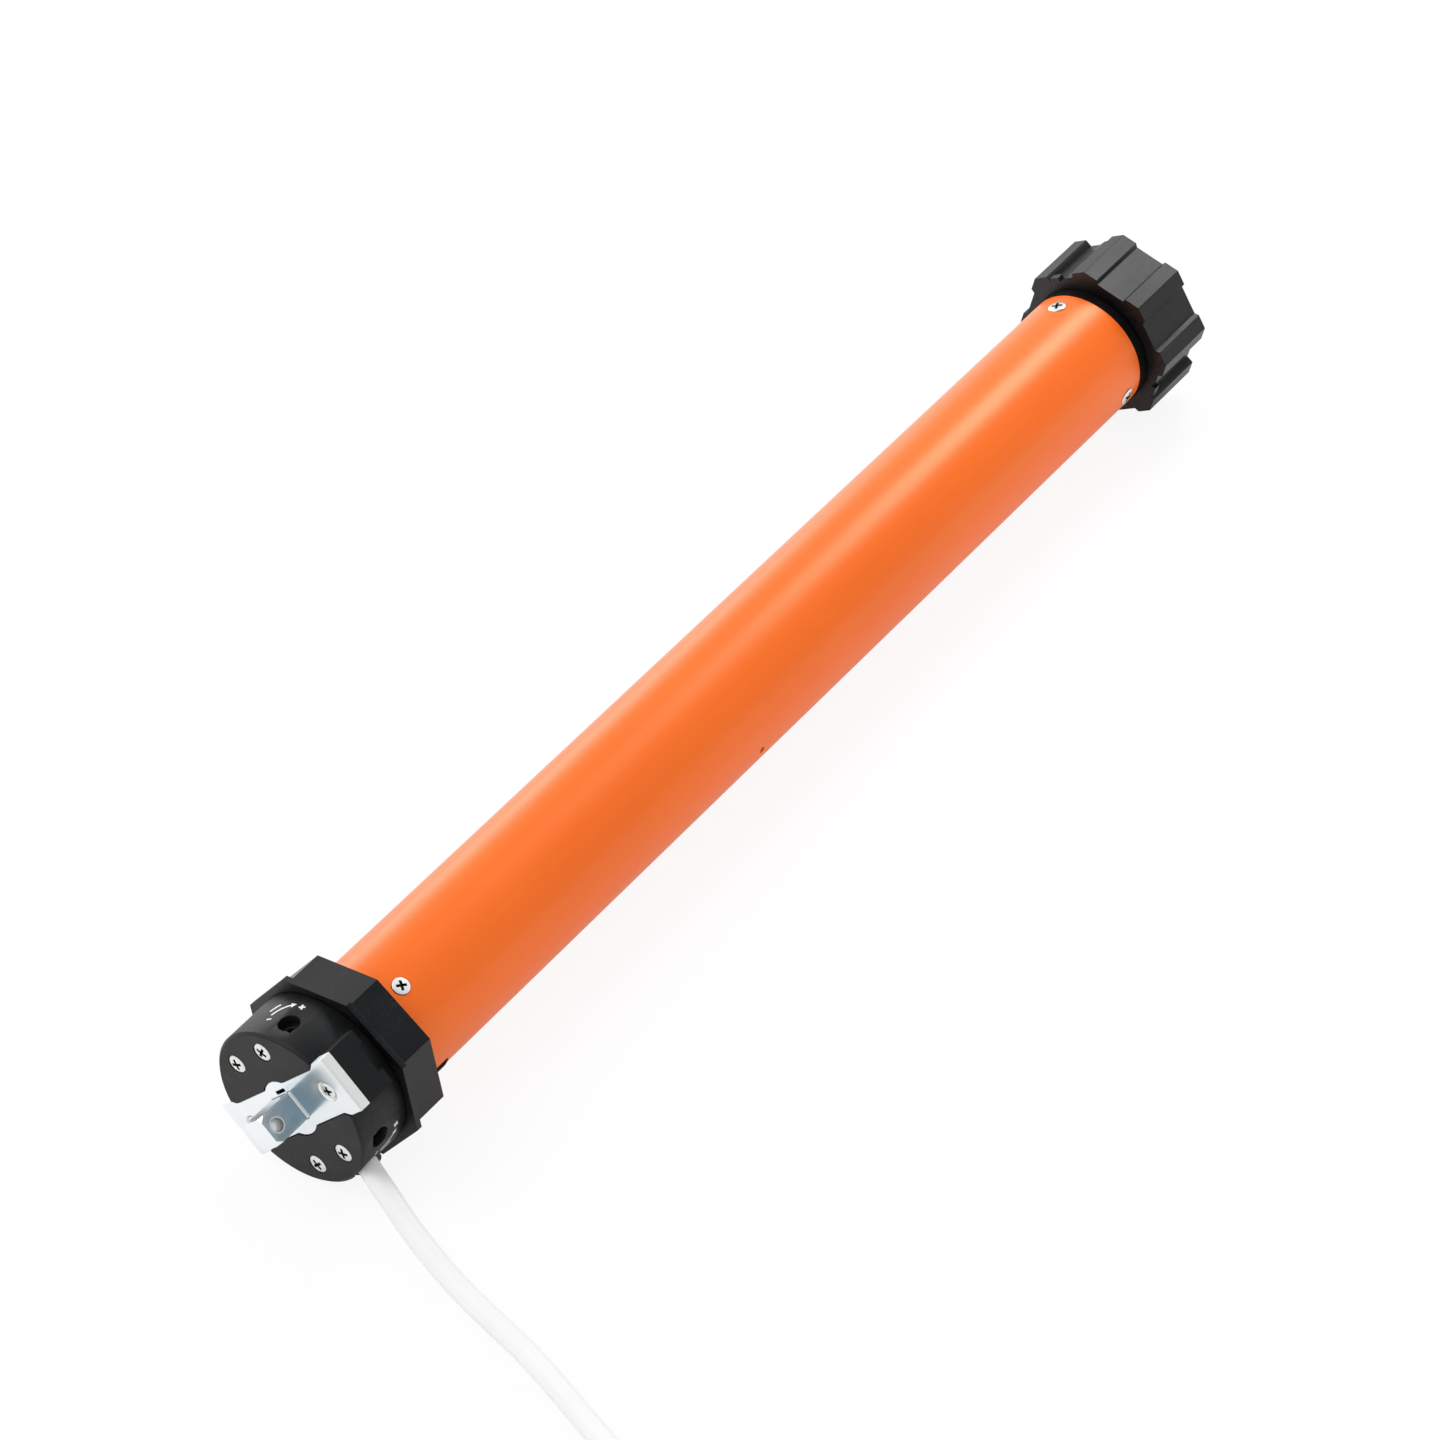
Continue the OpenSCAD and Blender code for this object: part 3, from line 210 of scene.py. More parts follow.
# The walls of the plate's hole near the pin are painted near black as shade.
painted_hole_shade = 1 - zinc.between(from_axis, painted_shade_r - painted_shade_blend, painted_shade_r + painted_shade_blend)
flat_zinc = zinc.mixed(bloom, (0.78, 0.835, 0.87, 1), (0.93, 0.945, 0.95, 1))
edge_zinc = zinc.mixed(0.5 * tear, (0.88, 0.88, 0.85, 1), (0.5, 0.48, 0.42, 1))
edge_zinc_with_shade = zinc.mixed(painted_hole_shade, edge_zinc, (0.01, 0.014, 0.015, 1))
zinc.feed("Base Color", zinc.mixed(sheared, flat_zinc, edge_zinc_with_shade))
zinc.feed("Roughness", 0.14 + 0.12 * bloom + 0.3 * sheared)
zinc.feed("Metallic", 1 - 0.65 * sheared)
zinc.bump(0.4 * brushed - 0.8 * tear, 0.00004, 0.5)
shade(zinc, "mounting_plate")
round_edges("mounting_plate", 0.0003)

pin_w = 0.010
pin_end = 0.0135
hole_x = 0.0098
hole_r = 0.0021
blue_zinc = Finish("blue zinc plating")
smoke = blue_zinc.grain(0.003, 3, (0.4, 1, 1))
across = abs(blue_zinc.along(1, (-plate_angle, 0, 0)))
upward = abs(blue_zinc.along(2, (-plate_angle, 0, 0)))
# The pin's rounded corners and its end are painted bright as highlights.
corner = blue_zinc.between(across + upward, pin_w - 0.0011, pin_w - 0.0004)
tip = blue_zinc.between(-1 * blue_zinc.along(0), pin_end - 0.0016, pin_end - 0.0008)
edge_highlights = blue_zinc.node("ShaderNodeMath", {"operation": "MAXIMUM"}, {0: corner, 1: tip})
near_end = blue_zinc.between(-1 * blue_zinc.along(0), 0.002, 0.012)
cold = blue_zinc.mixed(smoke, (0.55, 0.67, 0.73, 1), (0.7, 0.8, 0.85, 1))
paler = blue_zinc.mixed(0.7 * near_end, cold, (0.8, 0.81, 0.8, 1))
beside_hole = blue_zinc.along(0) + hole_x
from_hole = (beside_hole * beside_hole + across * across).math("POWER", 0.5)
# The cross hole's bore is painted darker as shade, and a lip round it is painted bright as a highlight, with
# less metal so it stays bright.
bore_shade = 1 - blue_zinc.between(from_hole, hole_r + 0.00005, hole_r + 0.00025)
lip_highlight = blue_zinc.between(from_hole, hole_r + 0.0001, hole_r + 0.0002) * (
    1 - blue_zinc.between(from_hole, hole_r + 0.0004, hole_r + 0.0006))
bright = blue_zinc.node("ShaderNodeMath", {"operation": "MAXIMUM"}, {0: edge_highlights, 1: lip_highlight})
plated = blue_zinc.mixed(bright, paler, (0.9, 0.92, 0.93, 1))
blue_zinc.feed("Base Color", blue_zinc.mixed(bore_shade, plated, (0.55, 0.56, 0.56, 1)))
blue_zinc.feed("Metallic", 1 - 0.5 * lip_highlight)
blue_zinc.feed("Roughness", 0.16 + 0.16 * smoke)
blue_zinc.bump(blue_zinc.grain(0.0004, 2, (0.2, 1, 1)), 0.00002, 0.4)
shade(blue_zinc, "square_pin")
round_edges("square_pin", 0.0006, 3)


def finished(name, shape, *finishes, sharp=None):
    """An object from a bmesh. With an angle in degrees it is smooth but for its sharper edges."""
    if sharp:
        for face in shape.faces:
            face.smooth = True
    mesh = bpy.data.meshes.new(name)
    shape.to_mesh(mesh)
    shape.free()
    if sharp:
        mesh.set_sharp_from_angle(angle=math.radians(sharp))
    for finish in finishes:
        mesh.materials.append(finish.material)
    made = bpy.data.objects.new(name, mesh)
    bpy.context.scene.collection.objects.link(made)
    return made


shoulder_w = 0.0109
shoulder_h = 0.0006
shoulder_corner = 0.0014
shoulder_rim = 0.0003
joint_edge = pin_w / 2 + 0.0001
joint_blend = 0.0001
foot = bmesh.new()
bmesh.ops.create_cube(foot, size=1)
bmesh.ops.scale(foot, vec=(shoulder_h, shoulder_w, shoulder_w), verts=foot.verts)
uprights = [edge for edge in foot.edges if abs(edge.verts[0].co.x - edge.verts[1].co.x) > shoulder_h / 2]
bmesh.ops.bevel(foot, geom=uprights, offset=shoulder_corner, offset_type="OFFSET", segments=5, profile=0.5,
                affect="EDGES", material=-1)
front_rim = [edge for edge in foot.edges if all(vert.co.x < 0 for vert in edge.verts)]
bmesh.ops.bevel(foot, geom=front_rim, offset=shoulder_rim, offset_type="OFFSET", segments=4, profile=0.5,
                affect="EDGES", material=-1)
bmesh.ops.translate(foot, vec=(-shoulder_h / 2, 0, 0), verts=foot.verts)
bmesh.ops.rotate(foot, matrix=Matrix.Rotation(plate_angle, 3, "X"), verts=foot.verts)
# The shoulder is painted a pale half-metal so its rim shows bright as a highlight; the dark joint at the pin
# is its own colour.
shoulder_painted_bright = Finish("rim painted bright as a highlight round a dark joint", metallic=0.4, roughness=0.35)
aside = abs(shoulder_painted_bright.along(1, (-plate_angle, 0, 0)))
above = abs(shoulder_painted_bright.along(2, (-plate_angle, 0, 0)))
widest = shoulder_painted_bright.node("ShaderNodeMath", {"operation": "MAXIMUM"}, {0: aside, 1: above})
joint = 1 - shoulder_painted_bright.between(widest, joint_edge, joint_edge + joint_blend)
shoulder_painted_bright.feed("Base Color", shoulder_painted_bright.mixed(joint, (0.9, 0.92, 0.92, 1), (0.03, 0.04, 0.045, 1)))
shoulder = finished("pin_shoulder", foot, shoulder_painted_bright, sharp=40)
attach(shoulder, "frame")


# Screws
# Plated steel screws with countersunk lens heads and a cross recess painted dark as shade:
# four through the head's front, two smaller ones in the plate and three at each end of the
# tube. Those at the head end are a little smaller and whiter.

head_r = 0.00315
shank_r = 0.0016
cone_h = 0.0019
rim_h = 0.0001
lens_h = 0.0005
slot_half = 0.0005
slot_reach = 0.0019
slot_deep = 0.0012
slot_taper = 0.72
slot_rise = 0.45
cut_slack = 1e-7
face_slack = 1e-5

nickel = Finish("nickel plating", metallic=0.9)
smear = nickel.grain(0.0015, 3)
nickel.feed("Base Color", nickel.mixed(smear, (0.68, 0.665, 0.64, 1), (0.9, 0.885, 0.86, 1)))
nickel.feed("Roughness", 0.2 + 0.2 * smear)
nickel.bump(nickel.grain(0.0003, 2), 0.00001, 0.4)
white_zinc = Finish("white zinc plating", metallic=0.2)
film = white_zinc.grain(0.0015, 3)
white_zinc.feed("Base Color", white_zinc.mixed(film, (0.84, 0.83, 0.81, 1), (0.95, 0.945, 0.93, 1)))
white_zinc.feed("Roughness", 0.3 + 0.2 * film)
# The cross recess is painted near black as the shade inside it.
recess_painted_shade = Finish("screw recess painted dark as shade", metallic=1.0)
shade_mottle = recess_painted_shade.grain(0.0006, 2)
recess_painted_shade.feed("Base Color", recess_painted_shade.mixed(shade_mottle, (0.03, 0.03, 0.03, 1), (0.09, 0.088, 0.085, 1)))
recess_painted_shade.feed("Roughness", 0.45 + 0.2 * shade_mottle)


def turned(outline, steps):
    """A round body about Z from points of radius and height, on the axis at both ends or closed."""
    body = bmesh.new()
    corners = [body.verts.new((x, 0, z)) for x, z in outline]
    edges = [body.edges.new(pair) for pair in zip(corners, corners[1:])]
    bmesh.ops.spin(body, geom=corners + edges, axis=(0, 0, 1), cent=(0, 0, 0), steps=steps,
                   angle=2 * math.pi, use_merge=True)
    bmesh.ops.remove_doubles(body, verts=body.verts, dist=same_place)
    bmesh.ops.recalc_face_normals(body, faces=body.faces)
    return body


def cross_screw(length):
    """One screw that points up, the rim of its head at Z = 0."""
    slopes = [math.radians(angle) for angle in (90, 68, 45, 22, 0)]
    dome = [(head_r * math.sin(slope), lens_h * math.cos(slope)) for slope in slopes]
    outline = [(0, -length), (shank_r, -length), (shank_r, -cone_h), (head_r - rim_h, -rim_h)] + dome
    screw = turned(outline, 32)
    for cut in (slot_half, -slot_half, slot_reach, -slot_reach):
        for way in ((1, 0, 0), (0, 1, 0)):
            top = [face for face in screw.faces if face.calc_center_median().z > 0]
            rim = {edge for face in top for edge in face.edges}
            points = {vert for face in top for vert in face.verts}
            bmesh.ops.bisect_plane(screw, geom=top + list(rim) + list(points),
                                   plane_co=cut * Vector(way), plane_no=way, dist=cut_slack)
    cross = []
    for face in screw.faces:
        middle = face.calc_center_median()
        narrow, wide = sorted((abs(middle.x), abs(middle.y)))
        if middle.z > 0 and narrow < slot_half and wide < slot_reach:
            cross.append(face)
    sunk = bmesh.ops.extrude_face_region(screw, geom=cross)["geom"]
    bmesh.ops.delete(screw, geom=cross, context="FACES")
    floor_verts = [item for item in sunk if isinstance(item, bmesh.types.BMVert)]
    for vert in floor_verts:
        reach = math.hypot(vert.co.x, vert.co.y) / slot_reach
        vert.co.x *= slot_taper
        vert.co.y *= slot_taper
        vert.co.z = -slot_deep * (1 - slot_rise * reach)
    # The recess faces take the second finish, painted dark as shade.
    for face in screw.faces:
        middle = face.calc_center_median()
        inside = math.hypot(middle.x, middle.y) < slot_reach
        if inside and -slot_deep - face_slack < middle.z < lens_h - 2 * rim_h:
            face.material_index = 1
    return screw


def set_screws(name, length, places, size=1.0, plating=nickel):
    """A group of like screws: each place is a point, a direction and the turn of its cross."""
    one = bpy.data.meshes.new("one screw")
    shape = cross_screw(length / size)
    bmesh.ops.scale(shape, vec=(size, size, size), verts=shape.verts)
    shape.to_mesh(one)
    shape.free()
    group = bmesh.new()
    for point, way, turn in places:
        start = len(group.verts)
        group.from_mesh(one)
        group.verts.ensure_lookup_table()
        stand = Vector(way).to_track_quat("Z", "Y").to_matrix().to_4x4()
        matrix = Matrix.Translation(point) @ stand @ Matrix.Rotation(math.radians(turn), 4, "Z")
        bmesh.ops.transform(group, matrix=matrix, verts=group.verts[start:])
    piece = finished(name + "_detailed", group, plating, recess_painted_shade, sharp=38)
    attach(piece, "frame")
    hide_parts(name)


def clock(angle, radius, x):
    """A point round the tube's axis: the angle is from straight up towards the cord's side."""
    turn = math.radians(angle)
    return Vector((x, -radius * math.sin(turn), radius * math.cos(turn)))


outward = Vector((-1, 0, 0))
cover_screw_r = 0.021
cover_screw_x = -0.0001
cover_screw_len = 0.0184
beside_plate = 22.7
cover_angles = [plate_turn + side + apart for side in (-90, 90) for apart in (-beside_plate, beside_plate)]
set_screws("head_screws", cover_screw_len, [
    (clock(angle, cover_screw_r, cover_screw_x), outward, turn)
    for angle, turn in zip(cover_angles, (20, 64, 8, 40))
])
plate_screw_r = 0.0235
plate_screw_x = 0.0004
plate_screw_len = 0.008
plate_screw_size = 0.87
set_screws("plate_screws", plate_screw_len, [
    (clock(angle, plate_screw_r, plate_screw_x), outward, turn)
    for angle, turn in ((plate_turn, 15), (plate_turn + 180, 52))
], plate_screw_size)
tube_surface = 0.0226
tube_screw_len = 0.005


def screws_round_tube(name, x, first, turns, size=1.0, plating=nickel):
    """Three screws at even angles round one end of the tube, the first at a clock angle."""
    set_screws(name, tube_screw_len, [
        (clock(angle, tube_surface, x), clock(angle, 1, 0), turn)
        for angle, turn in zip((first, first + 120, first + 240), turns)
    ], size, plating)


head_end_x = 0.0434
head_end_size = 0.92
screws_round_tube("tube_screws_head", head_end_x, 32, (57, 50, 31), head_end_size, white_zinc)
drive_end_x = 0.4209
screws_round_tube("tube_screws_drive", drive_end_x, -10, (25, 62, 40))


# Marks beside the limit screws
# White printed signs on the head's round side that tell which way to turn each limit screw:
# curved arrows between a minus and a plus.

marks_r = 0.02802
print_t = 0.00003
arrow_r = 8.4
arrow_end = 126
sign_turn = 26
plus_place = (-1.1, 7.4)
plus_size = (2.1, 0.65)
mark_white = Finish("white pad print", specular_ior_level=0.3)
thin_ink = mark_white.grain(0.0005, 3)
mark_white.feed("Base Color", mark_white.mixed(thin_ink, (0.7, 0.7, 0.7, 1), (0.88, 0.88, 0.87, 1)))
mark_white.feed("Roughness", 0.5 + 0.15 * thin_ink)


def bar(flat, middle, size, turn):
    """A flat bar on the print, its middle and size in millimetres round and along the head."""
    made = bmesh.ops.create_grid(flat, x_segments=2, y_segments=1, size=0.5)["verts"]
    bmesh.ops.scale(flat, vec=(size[0], size[1], 1), verts=made)
    bmesh.ops.rotate(flat, matrix=Matrix.Rotation(math.radians(turn), 3, "Z"), verts=made)
    bmesh.ops.translate(flat, vec=(middle[0], middle[1], 0), verts=made)


def arc(flat, radius, width, start, end):
    """A flat arc round the middle of the hole, angles in degrees."""
    first = math.radians(start)
    side = Vector((math.cos(first), math.sin(first), 0))
    near = flat.verts.new((radius - width / 2) * side)
    far = flat.verts.new((radius + width / 2) * side)
    across_arc = flat.edges.new((near, far))
    bmesh.ops.spin(flat, geom=[near, far, across_arc], axis=(0, 0, 1), cent=(0, 0, 0), steps=14,
                   angle=math.radians(end - start))


def arrowhead(flat, radius, at, size, way):
    """A small triangle at the end of an arc."""
    end = math.radians(at)
    onward = way * Vector((-math.sin(end), math.cos(end), 0))
    side = Vector((math.cos(end), math.sin(end), 0))
    base = radius * side
    half = side * size * 0.6
    flat.faces.new([flat.verts.new(place) for place in (base + onward * size, base + half, base - half)])


def limit_marks(name, angle, x, side):
    """The signs beside one access hole, drawn flat in millimetres and then laid on the round side."""
    flat = bmesh.new()
    arc(flat, arrow_r, 0.65, 172, arrow_end)
    arrowhead(flat, arrow_r, arrow_end, 1.8, -1)
    arc(flat, 10.9, 0.75, 165, 145)
    bar(flat, (-7.6, -0.7), (1.6, 0.6), sign_turn)
    bar(flat, plus_place, plus_size, sign_turn)
    bar(flat, plus_place, plus_size, sign_turn + 90)
    bmesh.ops.remove_doubles(flat, verts=flat.verts, dist=1e-5)
    for vert in flat.verts:
        round_by = math.degrees(side * vert.co.x / 1000 / marks_r)
        vert.co = clock(angle + round_by, marks_r, x + vert.co.y / 1000)
    bmesh.ops.recalc_face_normals(flat, faces=flat.faces)
    for face in flat.faces:
        middle = face.calc_center_median()
        if face.normal.dot((0, middle.y, middle.z)) < 0:
            face.normal_flip()
    bmesh.ops.solidify(flat, geom=flat.faces, thickness=print_t)
    piece = finished(name, flat, mark_white)
    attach(piece, "frame")


access_x = 0.0076
limit_marks("limit_marks_up", 0, access_x, 1)
limit_marks("limit_marks_down", 102, access_x, -1)


# Crown ring
# An eight-sided ring, moulded in black glass-filled plastic, that turns freely behind the head
# with the blind's own tube. Its flange stops the end of that tube.

moulded_black = Finish("moulded black plastic", specular_ior_level=0.36)
pore = moulded_black.grain(0.0005, 2)
flow = moulded_black.grain(0.011, 4, (0.5, 1, 1))
speck = moulded_black.between(moulded_black.grain(0.0007, 3), 0.42, 0.72)
frost = speck * moulded_black.between(flow, 0.3, 0.7)
moulded = moulded_black.mixed(flow, (0.0022, 0.0022, 0.0023, 1), (0.004, 0.004, 0.004, 1))
moulded_black.feed("Base Color", moulded_black.mixed(0.8 * frost, moulded, (0.018, 0.018, 0.018, 1)))
moulded_black.feed("Roughness", 0.36 + 0.06 * flow + 0.1 * frost)
moulded_black.bump(pore + 0.4 * frost, 0.00003, 0.5)
shade(moulded_black, "crown_ring")
round_edges("crown_ring", 0.00045)


# Drive wheel
# The eight-sided wheel at the far end, moulded in black plastic on a ribbed hub.
# It drives the blind's tube; a clip holds it on the shaft's hexagon.

shade(moulded_black, "drive_wheel")
round_edges("drive_wheel", 0.0004)


# Collar at the drive end
# A thin black lip of the gearbox's plastic end flange. It laps over the last few millimetres
# of the tube, in front of the drive wheel.

collar_x = 0.4282
collar_len = 0.0033
collar_r = 0.02252
collar_t = 0.00025
lip = turned([(collar_r, 0), (collar_r + collar_t, 0.0001), (collar_r + collar_t, collar_len),
              (collar_r, collar_len), (collar_r, 0)], 96)
along_tube = Matrix.Translation((collar_x, 0, 0)) @ Matrix.Rotation(math.pi / 2, 4, "Y")
bmesh.ops.transform(lip, matrix=along_tube, verts=lip.verts)
seal_black = Finish("matte black seal", specular_ior_level=0.08)
dull = seal_black.grain(0.002, 3)
seal_black.feed("Base Color", seal_black.mixed(dull, (0.002, 0.002, 0.002, 1), (0.005, 0.005, 0.005, 1)))
seal_black.feed("Roughness", 0.7 + 0.2 * dull)
collar = finished("drive_end_collar", lip, seal_black, sharp=35)
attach(collar, "frame")


# Key at the head end, and a dark tongue as painted shade
# The black plastic key of the head's body sits in a short slot of the tube's end. Past the slot
# and the crown a thin black tongue lies on the orange: painted shade where the tube's edge is dark.

key_angle = 122
key_x = 0.0355
key_len = 0.012
key_w = 0.0046
key_rise = 0.0004
key_sunk = 0.00015
key_round = 0.00012
# A black tongue laid on the tube's edge as painted shade.
tongue = bmesh.new()
bmesh.ops.create_grid(tongue, x_segments=8, y_segments=1, size=0.5)
raised = bmesh.ops.extrude_face_region(tongue, geom=tongue.faces[:])["geom"]
bmesh.ops.translate(tongue, vec=(0, 0, key_rise),
                    verts=[item for item in raised if isinstance(item, bmesh.types.BMVert)])
for vert in tongue.verts:
    angle = key_angle + math.degrees(key_w * vert.co.x / tube_surface)
    vert.co = clock(angle, tube_surface - key_sunk + vert.co.z, key_x + key_len * (vert.co.y + 0.5))
bmesh.ops.recalc_face_normals(tongue, faces=tongue.faces)
rims = [edge for edge in tongue.edges if edge.calc_face_angle(0) > math.radians(50)]
bmesh.ops.bevel(tongue, geom=rims, offset=key_round, offset_type="OFFSET", segments=2, profile=0.5,
                affect="EDGES", material=-1)
shade_tongue = finished("head_shade_tongue", tongue, seal_black, sharp=35)
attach(shade_tongue, "frame")


# Works inside the tube
# Motor, brake, gears and limit unit, as steel, copper, bronze, cast aluminium and plastic
# pieces. Most of them show only where the part is taken apart.

def inner_finish(name, dark, light, roughness, metallic, lump):
    """A plain finish: two colours in patches of some size, a roughness and a share of metal."""
    finish = Finish(name, metallic=metallic)
    patch = finish.grain(lump)
    finish.feed("Base Color", finish.mixed(patch, dark, light))
    finish.feed("Roughness", roughness + 0.12 * patch)
    finish.bump(finish.grain(lump / 8, 2), 0.00002, 0.4)
    return finish


steel = inner_finish("machined steel", (0.36, 0.37, 0.38, 1), (0.5, 0.51, 0.52, 1), 0.3, 1.0, 0.008)
shade(steel, "rotor_shaft", "sun_gear_1", "brake_disc", "brake_plate", "brake_spring", "carrier_1",
      "carrier_2", "output_carrier", "ring_gear", "wheel_clip", "stator_core", "rotor_core")
copper = inner_finish("enamelled copper wire", (0.42, 0.15, 0.05, 1), (0.6, 0.25, 0.09, 1), 0.3, 1.0, 0.004)
shade(copper, "stator_windings")
bronze = inner_finish("sintered bronze", (0.4, 0.24, 0.08, 1), (0.5, 0.32, 0.12, 1), 0.4, 1.0, 0.004)
shade(bronze, "rear_bush", "front_bush", "output_bush")
aluminium = inner_finish("cast aluminium", (0.5, 0.51, 0.52, 1), (0.62, 0.63, 0.64, 1), 0.4, 1.0, 0.006)
shade(aluminium, "rear_end_bell", "front_end_bell", "capacitor")
pale_plastic = inner_finish("pale moulded plastic", (0.66, 0.62, 0.5, 1), (0.74, 0.7, 0.6, 1),
                            0.45, 0.0, 0.01)
shade(pale_plastic, "limit_spindle_up", "limit_spindle_down", "limit_nut_up", "limit_nut_down",
      "limit_frame", "terminal_block")
shade(pale_plastic, *[f"planet_{stage}{place}" for stage in "123" for place in "abc"])
dark_plastic = inner_finish("dark moulded plastic", (0.02, 0.02, 0.02, 1), (0.035, 0.035, 0.035, 1),
                            0.5, 0.0, 0.01)
shade(dark_plastic, "limit_switch_up", "limit_switch_down", "gearbox_plate", "gearbox_flange",
      "capacitor_cradle")
rubber = inner_finish("black rubber", (0.004, 0.004, 0.004, 1), (0.009, 0.009, 0.009, 1), 0.5, 0.0, 0.003)
shade(rubber, "limit_screw_up", "limit_screw_down", "cable_grommet")


# Cord
# A white mains cord with a smooth round sheath. It leaves the side of the head, lies on the
# floor and ends in a coil held by ties, with its wires stripped.

cord_d = 0.0072
cord_route = [
    (5.5, -21, -18), (1, -32, -22), (-4, -43.5, -25.2), (-9, -55.5, -26.6), (-14, -67.5, -26.6),
    (-18.5, -80, -26.6), (-22.5, -92.5, -26.6), (-26.5, -105, -26.6), (-31, -117, -26.6),
    (-36, -129, -26.6), (-41, -141, -26.6), (-46, -153, -26.6), (-51, -165, -26.6), (-56, -177, -26.4),
    (-61, -189, -25.8), (-66, -201, -25.4), (-71, -213, -25.4),
]
run = [Vector(point) / 1000 for point in cord_route]
coil_gap = 0.00045
coil_pitch = cord_d + coil_gap
coil_turns = 2
coil_layers = 4
coil_last = 1.1
coil_mid = 0.04
climb_turns = 0.5
ring_steps = 24
coil_outer = coil_mid + coil_pitch * coil_turns / 2
heading = Vector((-5, -12, 0)) / 13
coil_start = run[-1] + cord_d * heading
coil_centre = coil_start + coil_outer * Vector((heading.y, -heading.x, 0))
coil_turned = math.atan2(heading.x, -heading.y)


def coil_point(turns):
    """The cord's middle after some turns: in and out again, a layer higher at each end."""
    layer = min(int(turns // coil_turns), coil_layers - 1)
    part = turns - layer * coil_turns
    radius = coil_outer - coil_pitch * (part if layer % 2 == 0 else coil_turns - part)
    layer_ends = [k * coil_turns - climb_turns / 2 for k in range(1, coil_layers)]
    climb = sum(min(max(turns - end, 0) / climb_turns, 1) for end in layer_ends)
    angle = coil_turned - 2 * math.pi * turns
    return coil_centre + Vector((radius * math.cos(angle), radius * math.sin(angle), coil_pitch * climb))


coil_total = (coil_layers - 1) * coil_turns + coil_last
coil = [coil_point(i / ring_steps) for i in range(round(coil_total * ring_steps) + 1)]
tail = coil[-1] + cord_d * (coil[-1] - coil[-2]).normalized()
cord_points = run + coil + [tail]

line = bpy.data.curves.new("cord", "CURVE")
line.dimensions = "3D"
spline = line.splines.new("BEZIER")
spline.bezier_points.add(len(cord_points) - 1)
for knot, point in zip(spline.bezier_points, cord_points):
    knot.co = point
    knot.handle_left_type = knot.handle_right_type = "AUTO"
spline.resolution_u = 5
line.bevel_depth = cord_d / 2
line.bevel_resolution = 5
line.use_fill_caps = True
cord = bpy.data.objects.new("cord", line)
bpy.context.scene.collection.objects.link(cord)
cord_length = sum((b - a).length for a, b in zip(cord_points, cord_points[1:]))
white_sheath = Finish("white cord sheath", specular_ior_level=0.4)
scuff = white_sheath.grain(0.02)
white_sheath.feed("Base Color", white_sheath.mixed(scuff, (0.84, 0.84, 0.845, 1), (0.9, 0.9, 0.9, 1)))
white_sheath.feed("Roughness", 0.4 + 0.15 * scuff)
line.materials.append(white_sheath.material)
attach(cord, "frame")
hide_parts("cord_run", "cord_coil")


# Cable ties
# Three white nylon ties hold the coil and lift it off the floor. Each is a flat strap round all
# the turns, with a square locking head on top and the cut end of its tail beside the head.

floor_z = -0.0302
tie_w = 0.005
tie_room = 0.0005
tie_play = 0.00005
tie_under = run[-1].z - cord_d / 2 - tie_play
tie_t = tie_under - floor_z
tie_bend = 0.0032
lock_size = 0.0062
lock_h = 0.0036
lock_sunk = 0.0002
lock_round = 0.0006
tail_len = 0.007
tail_w = tie_w - 0.0006
tail_round = 0.0003
tail_out = 0.0052
tail_up = 0.002
tail_tilt = -0.1
nylon = Finish("white nylon", specular_ior_level=0.4)
milk = nylon.grain(0.006)
nylon.feed("Base Color", nylon.mixed(milk, (0.7, 0.7, 0.67, 1), (0.78, 0.78, 0.75, 1)))
nylon.feed("Roughness", 0.32 + 0.12 * milk)


def rounded_block(group, size, middle, round_by, tilt=0.0):
    """A block with rounded edges in a group of meshes, tilted about Y."""
    made = bmesh.ops.create_cube(group, size=1)["verts"]
    bmesh.ops.scale(group, vec=size, verts=made)
    bmesh.ops.rotate(group, matrix=Matrix.Rotation(tilt, 3, "Y"), verts=made)
    bmesh.ops.translate(group, vec=middle, verts=made)
    edges = {edge for vert in made for edge in vert.link_edges}
    bmesh.ops.bevel(group, geom=list(edges), offset=round_by, offset_type="OFFSET", segments=3,
                    profile=0.5, affect="EDGES", material=-1)


